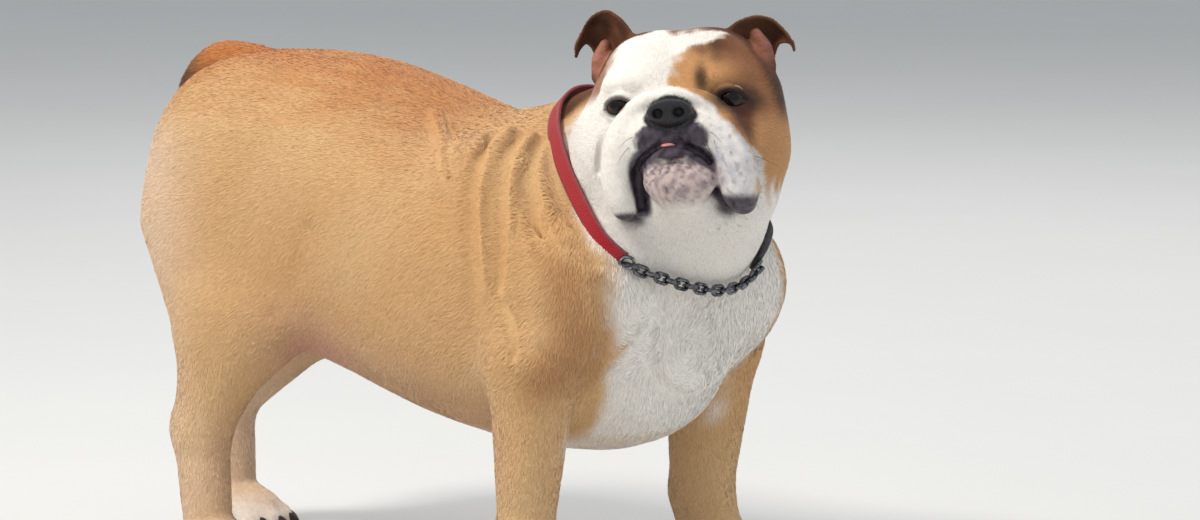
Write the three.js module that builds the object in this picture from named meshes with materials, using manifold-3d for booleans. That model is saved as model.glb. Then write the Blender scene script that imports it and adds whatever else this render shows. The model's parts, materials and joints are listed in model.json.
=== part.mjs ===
// English bulldog standing with its head turned to its right, as a still life-size model.
// Millimetres, +X towards the head, +Y to the dog's left, +Z up, paw pads on Z = 0.
import * as THREE from 'three';
import manifoldModule from 'manifold-3d';

const wasm = await manifoldModule();
wasm.setup();
const { Manifold, Mesh } = wasm;

// Driving dimensions
const GAP = 0.3;                 // clearance between neighbouring nodes
const CENTRE = [31.1, 0.2];       // plan position of the middle of the finished box before it is centred

// cell sizes of the sampling grid along each axis: [from, to, step]
const GRID_X = [[-288, 150, 4.4], [150, 342, 1.9]];
const GRID_Y = [[-176, -128, 4.0], [-128, 62, 1.9], [62, 176, 4.0]];
const GRID_Z = [[-6, 44, 2.6], [44, 262, 4.4], [262, 448, 1.9]];
const TRIANGLES = 6800;         // flesh triangles after thinning
const LEAST_COSINE = 0.35;      // least cosine by which a face may turn while the mesh is thinned
const LEAST_HEIGHT = 0.08;      // least height of a thinned face over its longest side
const REPAIR_PASSES = 12;       // passes that mend cells with loose corners
const FAINT = 1e-2;             // distance given to a corner that is turned over
const LEAST_CUT = 1e-3;         // volume below which a collar bed leaves a node as it was
const BEVEL = 0.6;              // bevel of the edges of the straps
const BED_CORNER = 1.16;        // reach of the corners of the six-sided bed of the chain over its flats

// blocks and balls that part the nodes, from the joints or in the head frame
const NECK_LENGTH = 40;         // reach of the neck behind the collar
const CUTS = {
  ground: -10,
  waist: -30,
  fore: { paw: [62, 60], arm: [60, 50], aside: [84, 200], top: 52, belowElbow: 14 },
  hind: {
    paw: [52, 56], shank: [40, 60], aside: [2, 150], top: 44, shankTop: 162,
    thigh: [6, 42, -64], thighRadii: [76, 66, 98] },
  tail: [-214, -5, 370], tailRadii: [44, 23, 36],
  nose: [80, 0, 2.5], noseRadii: [14, 20, 12],
  jaw: [56, 1, -54], jawRadii: [34, 29, 27] };

// trunk sections: x, top z, bottom z, half width
const TRUNK = [
  [-229, 316, 262, 44], [-213, 346, 228, 62], [-195, 376, 203, 82], [-168, 392, 184, 98],
  [-130, 396, 172, 103],
  [-90, 396, 160, 103], [-50, 391, 148, 107], [-10, 380, 135, 115], [30, 366, 124, 125], [70, 353, 116, 132],
  [110, 348, 110, 135], [150, 338, 108, 130], [185, 318, 112, 114], [215, 285, 130, 86], [232, 250, 168, 50]];
const TRUNK_POWER = 2.25;

// head frame: origin between the temples, turned, tipped up and rolled, degrees
const HEAD = { at: [249, -38, 363], yaw: -66, pitch: 8, roll: 5 };
const EYE = { at: [41.5, 40, 12], radius: 11.5 };

// joints of the limbs and the radii of the flesh round them
const FORE = {
  right: {
    blade: [116, -74, 302], point: [184, -90, 244], elbow: [170, -120, 188], wrist: [162, -119, 62],
    paw: [180, -122, 21], yaw: -16, arm: 35, forearm: 31, cannon: 21.5 },
  left: {
    blade: [116, 74, 302], point: [190, 92, 226], elbow: [174, 121, 182], wrist: [167, 117, 62],
    paw: [186, 120, 21], yaw: 12, arm: 38, forearm: 35, cannon: 25 } };
const HIND = {
  right: {
    hip: [-148, -52, 305], knee: [-122, -80, 198], hock: [-164, -80, 106], fetlock: [-158, -81, 38],
    paw: [-140, -84, 20], yaw: -14 },
  left: {
    hip: [-162, 52, 305], knee: [-152, 72, 200], hock: [-246, 64, 106], fetlock: [-243, 66, 38],
    paw: [-222, 66, 20], yaw: 6 } };
const SIDE = { right: -1, left: 1 };

// tail lying on the rump: points of its core and radii
const TAIL = [[-172, 0, 380], [-196, -2, 384], [-214, -5, 376], [-226, -8, 360], [-232, -10, 342]];
const TAIL_RADII = [19, 7];

// Vectors and frames
const RAD = Math.PI / 180;
const WORLD = [[1, 0, 0], [0, 1, 0], [0, 0, 1]];
const add = (a, b, s = 1) => [a[0] + b[0] * s, a[1] + b[1] * s, a[2] + b[2] * s];
const dot = (a, b) => a[0] * b[0] + a[1] * b[1] + a[2] * b[2];
const cross = (a, b) => [a[1] * b[2] - a[2] * b[1], a[2] * b[0] - a[0] * b[2], a[0] * b[1] - a[1] * b[0]];
const scaled = (a, s) => [a[0] * s, a[1] * s, a[2] * s];
const unit = (a) => scaled(a, 1 / Math.hypot(...a));

// forward, left and up axes for a yaw, a pitch and a roll
function axesOf(yaw, pitch, roll) {
  const [y, p, r] = [yaw * RAD, pitch * RAD, roll * RAD];
  const f = [Math.cos(p) * Math.cos(y), Math.cos(p) * Math.sin(y), Math.sin(p)];
  const l0 = [-Math.sin(y), Math.cos(y), 0];
  const u0 = cross(f, l0);
  const l = add(scaled(l0, Math.cos(r)), u0, Math.sin(r));
  return [f, l, cross(f, l)];
}
const HEAD_AXES = axesOf(HEAD.yaw, HEAD.pitch, HEAD.roll);
const headPoint = (q) => HEAD_AXES.reduce((p, axis, k) => add(p, axis, q[k]), HEAD.at);

// points on a smooth curve through the given ones
function curve(points, count) {
  const n = points.length - 1;
  const end = (a, b) => a.map((v, k) => 2 * v - b[k]);
  const P = [end(points[0], points[1]), ...points, end(points[n], points[n - 1])];
  return Array.from({ length: count }, (_, j) => {
    const t = j * n / (count - 1);
    const i = Math.min(Math.floor(t), n - 1);
    const u = t - i;
    return P[i].map((_, k) => 0.5 * (2 * P[i + 1][k] + (P[i + 2][k] - P[i][k]) * u
      + (2 * P[i][k] - 5 * P[i + 1][k] + 4 * P[i + 2][k] - P[i + 3][k]) * u * u
      + (3 * P[i + 1][k] - P[i][k] - 3 * P[i + 2][k] + P[i + 3][k]) * u ** 3));
  });
}
// values spread evenly along a table
function along(values, count) {
  if (!Array.isArray(values)) return Array(count).fill(values);
  return Array.from({ length: count }, (_, j) => {
    const t = j * (values.length - 1) / (count - 1);
    const i = Math.min(Math.floor(t), values.length - 2);
    return values[i] + (values[i + 1] - values[i]) * (t - i);
  });
}

// Forms of the flesh
// Each form gives a distance at a point, the box it fills and the width of its blend; cut forms take away.
const forms = [];
function place(form, lo, hi, blend, cut) {
  forms.push({ form, lo, hi, blend, cut });
}
function boxOf(points, reach) {
  const lo = [0, 1, 2].map((k) => Math.min(...points.map((p) => p[k])) - reach);
  const hi = [0, 1, 2].map((k) => Math.max(...points.map((p) => p[k])) + reach);
  return [lo, hi];
}
function ball(blend, c, r, axes = WORLD, cut = false) {
  const R = Array.isArray(r) ? r : [r, r, r];
  const [A, B, C] = axes;
  place((x, y, z) => {
    const q = [x - c[0], y - c[1], z - c[2]];
    const a = dot(q, A) / R[0];
    const b = dot(q, B) / R[1];
    const d = dot(q, C) / R[2];
    const k0 = Math.sqrt(a * a + b * b + d * d) + 1e-9;
    const k1 = Math.sqrt((a / R[0]) ** 2 + (b / R[1]) ** 2 + (d / R[2]) ** 2) + 1e-9;
    return k0 * (k0 - 1) / k1;
  }, ...boxOf([c], Math.max(...R)), blend, cut);
}
// tapered bar with round ends; flat = [direction, squash] thins it along one direction
function bar(a, b, ra, rb, flat) {
  const n = flat ? unit(flat[0]) : [0, 0, 0];
  const s = flat ? 1 / flat[1] - 1 : 0;
  const ab = add(b, a, -1);
  const e = add(ab, n, dot(ab, n) * s);
  const ee = dot(e, e);
  return (x, y, z) => {
    let qx = x - a[0];
    let qy = y - a[1];
    let qz = z - a[2];
    const w = (qx * n[0] + qy * n[1] + qz * n[2]) * s;
    qx += n[0] * w;
    qy += n[1] * w;
    qz += n[2] * w;
    const t = Math.min(1, Math.max(0, (qx * e[0] + qy * e[1] + qz * e[2]) / ee));
    return Math.hypot(qx - e[0] * t, qy - e[1] * t, qz - e[2] * t) - (ra + (rb - ra) * t);
  };
}
function limb(blend, a, b, ra, rb, flat, cut = false) {
  place(bar(a, b, ra, rb, flat), ...boxOf([a, b], Math.max(ra, rb)), blend, cut);
}
function tube(blend, points, radii, cut = false) {
  const P = curve(points, 3 * points.length);
  const R = along(radii, P.length);
  const bars = P.slice(1).map((p, i) => bar(P[i], p, R[i], R[i + 1]));
  place((x, y, z) => {
    let d = 1e9;
    for (const b of bars) d = Math.min(d, b(x, y, z));
    return d;
  }, ...boxOf(P, Math.max(...R)), blend, cut);
}
// the same forms given in the head's axes
const mirrored = (q, s) => [q[0], q[1] * s, q[2]];
const headBall = (blend, c, r, cut) => ball(blend, headPoint(c), r, HEAD_AXES, cut);
const headTube = (blend, points, radii, cut) => tube(blend, points.map(headPoint), radii, cut);

function shapeBody() {
  for (const side of ['right', 'left']) {
    const s = SIDE[side];
    const h = HIND[side];
    limb(26, h.hip, h.knee, 78, 50, [[0, 1, 0], 0.62]);
    limb(20, add(h.hip, [-32, s * 3, -42]), add(h.knee, [-32, 0, -8]), 52, 33, [[0, 1, 0], 0.8]);
    limb(18, h.knee, h.hock, 41, 23, [[0, 1, 0], 0.8]);
    limb(14, add(h.knee, [-26, 0, 6]), h.hock, 29, 18);
    limb(10, h.hock, h.fetlock, 22.5, 20);
    limb(8, add(h.hock, [-9, 0, 8]), add(h.hock, [-3, 0, -14]), 14, 14);
    shapePaw(h.paw, h.yaw, 1.0);
    const f = FORE[side];
    limb(26, f.blade, f.point, 50, 57, [[0, 1, 0], 0.76]);
    limb(22, f.point, f.elbow, 55, f.arm, [[0, 1, 0], 0.9]);
    limb(16, f.elbow, f.wrist, f.forearm + 3, f.cannon);
    ball(12, add(f.elbow, [-16, 0, 2]), [19, 18, 23]);
    limb(8, f.wrist, add(f.paw, [-14, 0, 12]), f.cannon, f.cannon + 1);
    shapePaw(f.paw, f.yaw, 1.1);
  }
  ball(30, [200, 0, 212], [46, 84, 70]);
  limb(26, [96, 0, 288], [196, -2, 328], 62, 66);
  ball(26, [214, 34, 296], [52, 58, 58]);
  limb(30, [112, 0, 268], [216, -14, 300], 86, 74);
  tube(8, TAIL, TAIL_RADII);
}
function shapePaw(c, yaw, s) {
  const [f, l, u] = axesOf(yaw, 0, 0);
  ball(8, add(add(c, f, -6 * s), u, -2), [30 * s, 25 * s, 20 * s], [f, l, u]);
  for (const [a, b] of [[10, -21], [19, -8], [19, 8], [10, 21]]) {
    const root = add(add(add(c, f, (a - 22) * s), l, b * 0.6 * s), u, 8 * s);
    limb(4, root, add(add(add(c, f, a * s), l, b * s), u, -9), 11 * s, 12.2 * s);
  }
}
// Forms of the head in its own axes, in order: kind, 1 for a mirrored pair, blend, 1 for a cut, place, radii.
const HEAD_FORMS = [
  ['ball', 0, 20, 0, [-10, 0, 14], [60, 58, 50]],
  ['ball', 0, 16, 0, [2, 42, -20], [46, 35, 44]],
  ['ball', 0, 16, 0, [2, -49, -20], [46, 36, 44]],
  ['ball', 0, 14, 0, [-4, 57, 14], [28, 15, 28]],
  ['ball', 0, 14, 0, [-4, -52, 14], [28, 13, 26]],
  ['ball', 1, 14, 0, [8, 34, -56], [38, 30, 28]],
  ['ball', 1, 9, 0, [27, 38, 8], [19, 23, 20]],
  ['ball', 1, 16, 0, [-4, 24, 38], [44, 32, 29]],
  ['ball', 1, 12, 0, [33, 30, 28], [19, 22, 12]],
  ['ball', 1, 12, 0, [48, 32, -18], [22, 20, 22]],
  ['ball', 0, 18, 0, [0, 0, -64], [46, 54, 34]],
  ['ball', 0, 14, 0, [40, 0, -12], [34, 42, 32]],
  ['bar', 0, 12, 0, [[20, 0, -54], [56, 2, -48]], [28, 22]],
  ['ball', 0, 8, 0, [66, 3, -46], [15, 27, 16]],
  ['ball', 1, 8, 0, [62, 16, -10], [17, 18, 16]],
  ['tube', 0, 5, 0, [[68, 0, 15], [65, 20, 12], [60, 33, 0], [61, 38, -18], [60, 43, -37], [57, 45, -54],
    [52, 46, -63]], [6.5, 7.5, 10, 14, 16, 15, 10.5]],
  ['tube', 0, 5, 0, [[68, 0, 15], [65, -20, 12], [60, -34, -1], [59, -41, -18], [57, -44, -38],
    [54, -43, -54], [50, -41, -62]], [6.5, 7.5, 9.5, 12, 12.5, 12, 10]],
  ['tube', 0, 3, 1, [[42, -60, -34], [48, -54, -10], [54, -42, 10], [58, -22, 23], [60, 0, 27],
    [58, 22, 23], [54, 42, 10], [48, 56, -8], [42, 66, -34]], [2.5, 3, 3, 3.2, 3.2, 3.2, 3, 3, 2.5]],
  ['ball', 0, 3, 0, [78, 0, 3], [11, 17.5, 10.5]],
  ['ball', 1, 1.5, 1, [88.5, 8, 2.5], [7, 4.2, 3.6]],
  ['tube', 1, 1.5, 1, [[88.5, 10, 1], [85.5, 14, -0.5], [80, 18, -2.5]], [1.8, 1.6, 1.2]],
  ['tube', 0, 1.5, 1, [[89.5, 0, 8], [89.5, 0, 0], [86, 0, -8], [80, 0, -14], [79, 0, -19]],
    [1, 1.3, 1.6, 1.6, 1.6]],
  ['tube', 0, 3, 1, [[46, -29, -62], [54, -30, -48], [63, -26, -31], [73, -13, -23.5], [79, 1, -18.5],
    [73, 13, -24.5], [65, 24, -35], [57, 29, -50], [47, 36, -64]],
  [2.4, 2.8, 2.8, 2.8, 3, 2.8, 2.8, 2.8, 2.4]],
  ['tube', 0, 3, 0, [[60, -24, -38], [72, -13, -29], [79, 0, -25.5], [72, 14, -31], [60, 25, -41]],
    [3.5, 4.2, 4.6, 4.2, 3.5]],
  ['tube', 0, 8, 1, [[58, 0, 31], [53, 0, 44], [42, 0, 58], [22, 0, 71]], [3, 5, 5.5, 5]],
  ['tube', 1, 3, 1, [[54, 16, 26], [53, 19, 36], [46, 21, 46]], [1.5, 2, 1.2]],
  ['tube', 1, 3, 0, [[50, 28, 9], [52.5, 33, 17.5], [52, 40, 20.5], [47.5, 48, 17], [41, 53, 10]],
    [2.4, 3, 3.2, 3, 2.4]],
  ['tube', 1, 3, 0, [[50, 28, 9], [52, 34, 4.5], [51, 41, 3], [47, 48, 5], [41, 53, 10]],
    [2.2, 2.5, 2.6, 2.5, 2.2]],
  ['tube', 1, 4, 0, [[-4, 56, 60], [-6, 61, 50], [-10, 63, 38]], [5, 6.5, 6]]];
// Folds of the skin of the body: blend, 1 for a furrow, points of the line and its radii.
const FOLDS = [
  [7, 0, [[121, -75, 353], [124, -114, 316], [134, -129, 277], [139, -134, 252]], [2, 3.5, 3.5, 2]],
  [7, 0, [[142, -76, 349], [145, -100, 330], [150, -114, 310], [157, -125, 290]], [2, 4, 4, 2]],
  [7, 0, [[151, -75, 347], [169, -103, 317], [199, -123, 288], [224, -127, 257]], [2, 4, 4, 2]],
  [6, 1, [[131, -78, 353], [135, -100, 338], [142, -118, 309], [148, -130, 272]], [1, 2, 2, 1]],
  [6, 1, [[156, -92, 340], [168, -112, 312], [188, -126, 286]], [1, 2, 1]],
  [7, 0, [[34, -42, 362], [62, -75, 344], [89, -108, 322]], [1, 2.5, 1]],
  [7, 0, [[142, 76, 349], [145, 102, 328], [152, 118, 300], [160, 126, 275]], [2, 3.5, 3.5, 2]],
  [8, 1, [[160, -142, 232], [172, -148, 216], [176, -152, 198]], [1, 2, 1]],
  [12, 1, [[232, -120, 248], [236, -110, 223], [226, -106, 198], [212, -110, 176]], [2, 4, 4, 2]],
  [12, 1, [[-44, -110, 270], [-56, -108, 238], [-74, -108, 204]], [2, 3, 2]],
  [12, 1, [[-44, 110, 270], [-56, 108, 238], [-74, 108, 204]], [2, 3, 2]]];
function shapeHead() {
  for (const [kind, pair, blend, cut, place3, radii] of HEAD_FORMS) {
    for (const s of pair ? [1, -1] : [1]) {
      if (kind === 'ball') headBall(blend, mirrored(place3, s), radii, cut === 1);
      else if (kind === 'tube') headTube(blend, place3.map((q) => mirrored(q, s)), radii, cut === 1);
      else limb(blend, ...place3.map(headPoint), ...radii);
    }
  }
  for (const [blend, cut, points, radii] of FOLDS) tube(blend, points, radii, cut === 1);
}

// Field of the whole body
function tableAt(rows, k, x) {
  const n = rows.length;
  let i = 0;
  while (i < n - 2 && x > rows[i + 1][0]) i += 1;
  const slope = (j) => {
    const a = Math.max(0, j - 1);
    const b = Math.min(n - 1, j + 1);
    return (rows[b][k] - rows[a][k]) / (rows[b][0] - rows[a][0]);
  };
  const h = rows[i + 1][0] - rows[i][0];
  const u = Math.min(1, Math.max(0, (x - rows[i][0]) / h));
  return rows[i][k] * (1 + 2 * u) * (1 - u) ** 2 + rows[i + 1][k] * u * u * (3 - 2 * u)
    + h * slope(i) * u * (1 - u) ** 2 - h * slope(i + 1) * u * u * (1 - u);
}
// distance to a rounded tube whose section is a superellipse of the given top, bottom and width
function trunkSection(x) {
  const [top, bottom, width] = [1, 2, 3].map((k) => tableAt(TRUNK, k, x));
  return { mid: (top + bottom) / 2, half: (top - bottom) / 2, width };
}
function trunkAt(s, x, y, z) {
  const aside = Math.abs(y / s.width) ** TRUNK_POWER;
  const upright = Math.abs((z - s.mid) / s.half) ** TRUNK_POWER;
  const rho = (aside + upright) ** (1 / TRUNK_POWER);
  return Math.max((rho - 1) * Math.min(s.width, s.half), TRUNK[0][0] - x, x - TRUNK[TRUNK.length - 1][0]);
}
const smin = (a, b, k) => {
  const h = Math.min(1, Math.max(0, 0.5 + 0.5 * (a - b) / k));
  return a + (b - a) * h - k * h * (1 - h);
};
function fieldAt(x, y, z) {
  let d = trunkAt(trunkSection(x), x, y, z);
  for (const f of forms) {
    const m = f.blend + 8;
    if (x < f.lo[0] - m || x > f.hi[0] + m || y < f.lo[1] - m) continue;
    if (y > f.hi[1] + m || z < f.lo[2] - m || z > f.hi[2] + m) continue;
    const e = f.form(x, y, z);
    d = f.cut ? -smin(-d, e, f.blend) : smin(d, e, f.blend);
  }
  return d;
}
function gridLine(spans) {
  const line = [];
  for (const [from, to, step] of spans) {
    const n = Math.round((to - from) / step);
    for (let i = 0; i < n; i += 1) line.push(from + (to - from) * i / n);
  }
  line.push(spans[spans.length - 1][1]);
  return line;
}

// runs a step for each place of a block of the grid
function eachCell(from, to, step) {
  for (let i = from[0]; i < to[0]; i += 1) {
    for (let j = from[1]; j < to[1]; j += 1) {
      for (let k = from[2]; k < to[2]; k += 1) step(i, j, k);
    }
  }
}

// surface of the field: one vertex in each cell that the surface crosses, one quad for each crossed edge
function surfaceOf(X, Y, Z) {
  const [nx, ny, nz] = [X.length, Y.length, Z.length];
  const at = (i, j, k) => (i * ny + j) * nz + k;
  const F = new Float32Array(nx * ny * nz);
  for (let i = 0; i < nx; i += 1) {
    const s = trunkSection(X[i]);
    for (let j = 0; j < ny; j += 1) {
      for (let k = 0; k < nz; k += 1) F[at(i, j, k)] = trunkAt(s, X[i], Y[j], Z[k]);
    }
  }
  const first = (line, v) => {
    const i = line.findIndex((w) => w >= v);
    return i < 0 ? line.length : i;
  };
  for (const f of forms) {
    const m = f.blend + 8;
    const [i0, j0, k0] = [first(X, f.lo[0] - m), first(Y, f.lo[1] - m), first(Z, f.lo[2] - m)];
    const [i1, j1, k1] = [first(X, f.hi[0] + m), first(Y, f.hi[1] + m), first(Z, f.hi[2] + m)];
    eachCell([i0, j0, k0], [i1, j1, k1], (i, j, k) => {
      const e = f.form(X[i], Y[j], Z[k]);
      const n = at(i, j, k);
      F[n] = f.cut ? -smin(-F[n], e, f.blend) : smin(F[n], e, f.blend);
    });
  }
  const cell = new Int32Array(nx * ny * nz).fill(-1);
  const verts = [];
  const corner = [[0, 0, 0], [0, 0, 1], [0, 1, 0], [0, 1, 1], [1, 0, 0], [1, 0, 1], [1, 1, 0], [1, 1, 1]];
  const edges = [];
  corner.forEach((a, p) => corner.forEach((b, q) => {
    const steps = Math.abs(a[0] - b[0]) + Math.abs(a[1] - b[1]) + Math.abs(a[2] - b[2]);
    if (q > p && steps === 1) edges.push([p, q]);
  }));
  // a cell whose inner or outer corners fall apart into groups has its faintest lone corner turned over
  const groups = corner.map((_, p) => edges.filter((e) => e.includes(p)).map((e) => e[0] + e[1] - p));
  const bits = (m) => m.toString(2).replace(/0/g, '').length;
  // the corners of a mask that are joined to its lowest one
  const joinedTo = (mask) => {
    const from = 31 - Math.clz32(mask & -mask);
    let seen = 1 << from;
    const stack = [from];
    while (stack.length) {
      for (const q of groups[stack.pop()]) {
        if (!(mask >> q & 1) || (seen >> q & 1)) continue;
        seen |= 1 << q;
        stack.push(q);
      }
    }
    return seen;
  };
  for (let pass = 0, turned = 1; pass < REPAIR_PASSES && turned; pass += 1) {
    turned = 0;
    eachCell([0, 0, 0], [nx - 1, ny - 1, nz - 1], (i, j, k) => {
      const id = corner.map((c) => at(i + c[0], j + c[1], k + c[2]));
      let inner = 0;
      for (let p = 0; p < 8; p += 1) if (F[id[p]] < 0) inner |= 1 << p;
      if (inner === 0 || inner === 255) return;
      const mask = [inner, 255 ^ inner].find((m) => joinedTo(m) !== m);
      if (mask === undefined) return;
      const seen = joinedTo(mask);
      const lone = bits(seen) <= bits(mask ^ seen) ? seen : mask ^ seen;
      for (let p = 0; p < 8; p += 1) if (lone >> p & 1) F[id[p]] = F[id[p]] < 0 ? FAINT : -FAINT;
      turned += 1;
    });
  }
  eachCell([0, 0, 0], [nx - 1, ny - 1, nz - 1], (i, j, k) => {
    const v = corner.map((c) => F[at(i + c[0], j + c[1], k + c[2])]);
    const inside = v.filter((w) => w < 0).length;
    if (inside === 0 || inside === 8) return;
    const sum = [0, 0, 0];
    let count = 0;
    for (const [p, q] of edges) {
      if ((v[p] < 0) === (v[q] < 0)) continue;
      const t = v[p] / (v[p] - v[q]);
      for (let a = 0; a < 3; a += 1) sum[a] += corner[p][a] + (corner[q][a] - corner[p][a]) * t;
      count += 1;
    }
    const [u, w, s] = sum.map((a) => a / count);
    cell[at(i, j, k)] = verts.length;
    verts.push([X[i] + (X[i + 1] - X[i]) * u, Y[j] + (Y[j + 1] - Y[j]) * w, Z[k] + (Z[k + 1] - Z[k]) * s]);
  });
  const faces = [];
  const quad = (a, b, c, d, flip) => {
    if (flip) faces.push([a, d, c], [a, c, b]);
    else faces.push([a, b, c], [a, c, d]);
  };
  const [di, dj] = [ny * nz, nz];
  eachCell([1, 1, 1], [nx - 1, ny - 1, nz - 1], (i, j, k) => {
    const n = at(i, j, k);
    const low = F[n] < 0;
    if (low !== F[n + di] < 0) quad(cell[n], cell[n - dj], cell[n - dj - 1], cell[n - 1], !low);
    if (low !== F[n + dj] < 0) quad(cell[n], cell[n - 1], cell[n - 1 - di], cell[n - di], !low);
    if (low !== F[n + 1] < 0) quad(cell[n], cell[n - di], cell[n - di - dj], cell[n - dj], !low);
  });
  return { verts, faces };
}

// moves each vertex along the slope of the field until it lies on the surface
function settle(verts, rounds, limit) {
  const e = 0.25;
  for (const v of verts) {
    const start = [...v];
    for (let r = 0; r < rounds; r += 1) {
      const d = fieldAt(...v);
      const g = WORLD.map((axis) => (fieldAt(...add(v, axis, e)) - d) / e);
      const gg = Math.max(dot(g, g), 0.2);
      for (let k = 0; k < 3; k += 1) v[k] -= g[k] * d / gg;
    }
    const move = add(v, start, -1);
    const far = Math.hypot(...move);
    if (far > limit) for (let k = 0; k < 3; k += 1) v[k] = start[k] + move[k] * limit / far;
  }
}

// thins a closed mesh by edge collapses of least squared distance to the planes of the faces
function thin(verts, faces, target, weightOf) {
  const n = verts.length;
  const Q = new Float64Array(n * 10);
  const alive = new Uint8Array(faces.length).fill(1);
  const ring = Array.from({ length: n }, () => []);
  const stamp = new Uint32Array(n);
  const normal = (a, b, c) => cross(add(verts[b], verts[a], -1), add(verts[c], verts[a], -1));
  faces.forEach((f, i) => {
    const m = normal(...f);
    const size = Math.hypot(...m) + 1e-12;
    const u = scaled(m, 1 / size);
    const d = -dot(u, verts[f[0]]);
    const p = [...u, d];
    for (const v of f) {
      ring[v].push(i);
      const w = size * weightOf(verts[v]);
      let k = 0;
      for (let a = 0; a < 4; a += 1) {
        for (let b = a; b < 4; b += 1) {
          Q[v * 10 + k] += p[a] * p[b] * w;
          k += 1;
        }
      }
    }
  });
  const cost = (a, b, p) => {
    const q = (k) => Q[a * 10 + k] + Q[b * 10 + k];
    const [x, y, z] = p;
    return q(0) * x * x + 2 * q(1) * x * y + 2 * q(2) * x * z + 2 * q(3) * x
      + q(4) * y * y + 2 * q(5) * y * z + 2 * q(6) * y
      + q(7) * z * z + 2 * q(8) * z + q(9);
  };
  const best = (a, b) => {
    const mid = scaled(add(verts[a], verts[b]), 0.5);
    const q = (k) => Q[a * 10 + k] + Q[b * 10 + k];
    const A = [q(0), q(1), q(2), q(4), q(5), q(7)];
    const [c0, c1, c2] = [q(3), q(6), q(8)];
    const [m0, m1, m2] = [A[3] * A[5] - A[4] * A[4], A[1] * A[5] - A[4] * A[2], A[1] * A[4] - A[3] * A[2]];
    const det = A[0] * m0 - A[1] * m1 + A[2] * m2;
    const trace = A[0] + A[3] + A[5];
    const tries = [verts[a], verts[b], mid];
    if (det > 1e-4 * trace ** 3) {
      const [n0, n1, n2] = [c1 * A[5] - A[4] * c2, c1 * A[4] - A[3] * c2, A[1] * c2 - c1 * A[2]];
      const x = -(c0 * m0 - A[1] * n0 + A[2] * n1) / det;
      const y = -(A[0] * n0 - c0 * m1 + A[2] * n2) / det;
      const z = -(A[0] * (A[3] * c2 - c1 * A[4]) - A[1] * n2 + c0 * m2) / det;
      const p = [x, y, z];
      if (Math.hypot(...add(p, mid, -1)) < 2 * Math.hypot(...add(verts[a], verts[b], -1))) tries.push(p);
    }
    let top = null;
    for (const p of tries) {
      const c = cost(a, b, p);
      if (!top || c < top.c) top = { c, p };
    }
    const length = Math.hypot(...add(verts[a], verts[b], -1));
    return { c: Math.max(top.c, 0) + 2e-4 * length * length, p: top.p };
  };
  const heap = [];
  const push = (e) => {
    heap.push(e);
    let i = heap.length - 1;
    while (i > 0) {
      const up = (i - 1) >> 1;
      if (heap[up].c <= heap[i].c) break;
      [heap[up], heap[i]] = [heap[i], heap[up]];
      i = up;
    }
  };
  const pop = () => {
    const top = heap[0];
    const last = heap.pop();
    if (heap.length) {
      heap[0] = last;
      let i = 0;
      for (;;) {
        let m = i;
        const l = 2 * i + 1;
        if (l < heap.length && heap[l].c < heap[m].c) m = l;
        if (l + 1 < heap.length && heap[l + 1].c < heap[m].c) m = l + 1;
        if (m === i) break;
        [heap[m], heap[i]] = [heap[i], heap[m]];
        i = m;
      }
    }
    return top;
  };
  const queue = (a, b) => push({ a, b, sa: stamp[a], sb: stamp[b], ...best(a, b) });
  const around = (v) => {
    const s = new Set();
    for (const f of ring[v]) for (const w of faces[f]) if (w !== v) s.add(w);
    return s;
  };
  faces.forEach((f) => {
    for (let k = 0; k < 3; k += 1) if (f[k] < f[(k + 1) % 3]) queue(f[k], f[(k + 1) % 3]);
  });
  let count = faces.length;
  while (count > target && heap.length) {
    const e = pop();
    const { a, b } = e;
    if (e.sa !== stamp[a] || e.sb !== stamp[b] || !ring[a].length || !ring[b].length) continue;
    const na = around(a);
    let shared = 0;
    for (const v of around(b)) if (na.has(v)) shared += 1;
    if (shared !== 2) continue;
    let good = true;
    for (const v of [a, b]) {
      const other = v === a ? b : a;
      for (const i of ring[v]) {
        const f = faces[i];
        if (f.includes(other)) continue;
        const before = normal(...f);
        const [p, q, r] = f.map((w) => (w === v ? e.p : verts[w]));
        const after = cross(add(q, p, -1), add(r, p, -1));
        const size = Math.hypot(...after);
        const sides = [add(q, p, -1), add(r, p, -1), add(r, q, -1)];
        const longest = Math.max(...sides.map((d) => Math.hypot(...d)));
        const turned = dot(before, after) < LEAST_COSINE * Math.hypot(...before) * size;
        if (turned || size < LEAST_HEIGHT * longest * longest) {
          good = false;
          break;
        }
      }
      if (!good) break;
    }
    if (!good) continue;
    verts[a] = [...e.p];
    for (let k = 0; k < 10; k += 1) Q[a * 10 + k] += Q[b * 10 + k];
    for (const i of ring[b]) {
      const f = faces[i];
      if (f.includes(a)) {
        alive[i] = 0;
        count -= 1;
        for (const w of f) if (w !== b) ring[w] = ring[w].filter((x) => x !== i);
      } else {
        f[f.indexOf(b)] = a;
        ring[a].push(i);
      }
    }
    ring[b] = [];
    stamp[b] += 1;
    stamp[a] += 1;
    for (const w of around(a)) queue(Math.min(a, w), Math.max(a, w));
  }
  const keep = new Map();
  const outVerts = [];
  const outFaces = [];
  faces.forEach((f, i) => {
    if (!alive[i]) return;
    outFaces.push(f.map((v) => {
      if (!keep.has(v)) {
        keep.set(v, outVerts.length);
        outVerts.push(verts[v]);
      }
      return keep.get(v);
    }));
  });
  return { verts: outVerts, faces: outFaces };
}

// Solids
function solidOf({ verts, faces }) {
  const vertProperties = Float32Array.from(verts.flat());
  const mesh = new Mesh({ numProp: 3, vertProperties, triVerts: Uint32Array.from(faces.flat()) });
  mesh.merge();
  return new Manifold(mesh);
}
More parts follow.
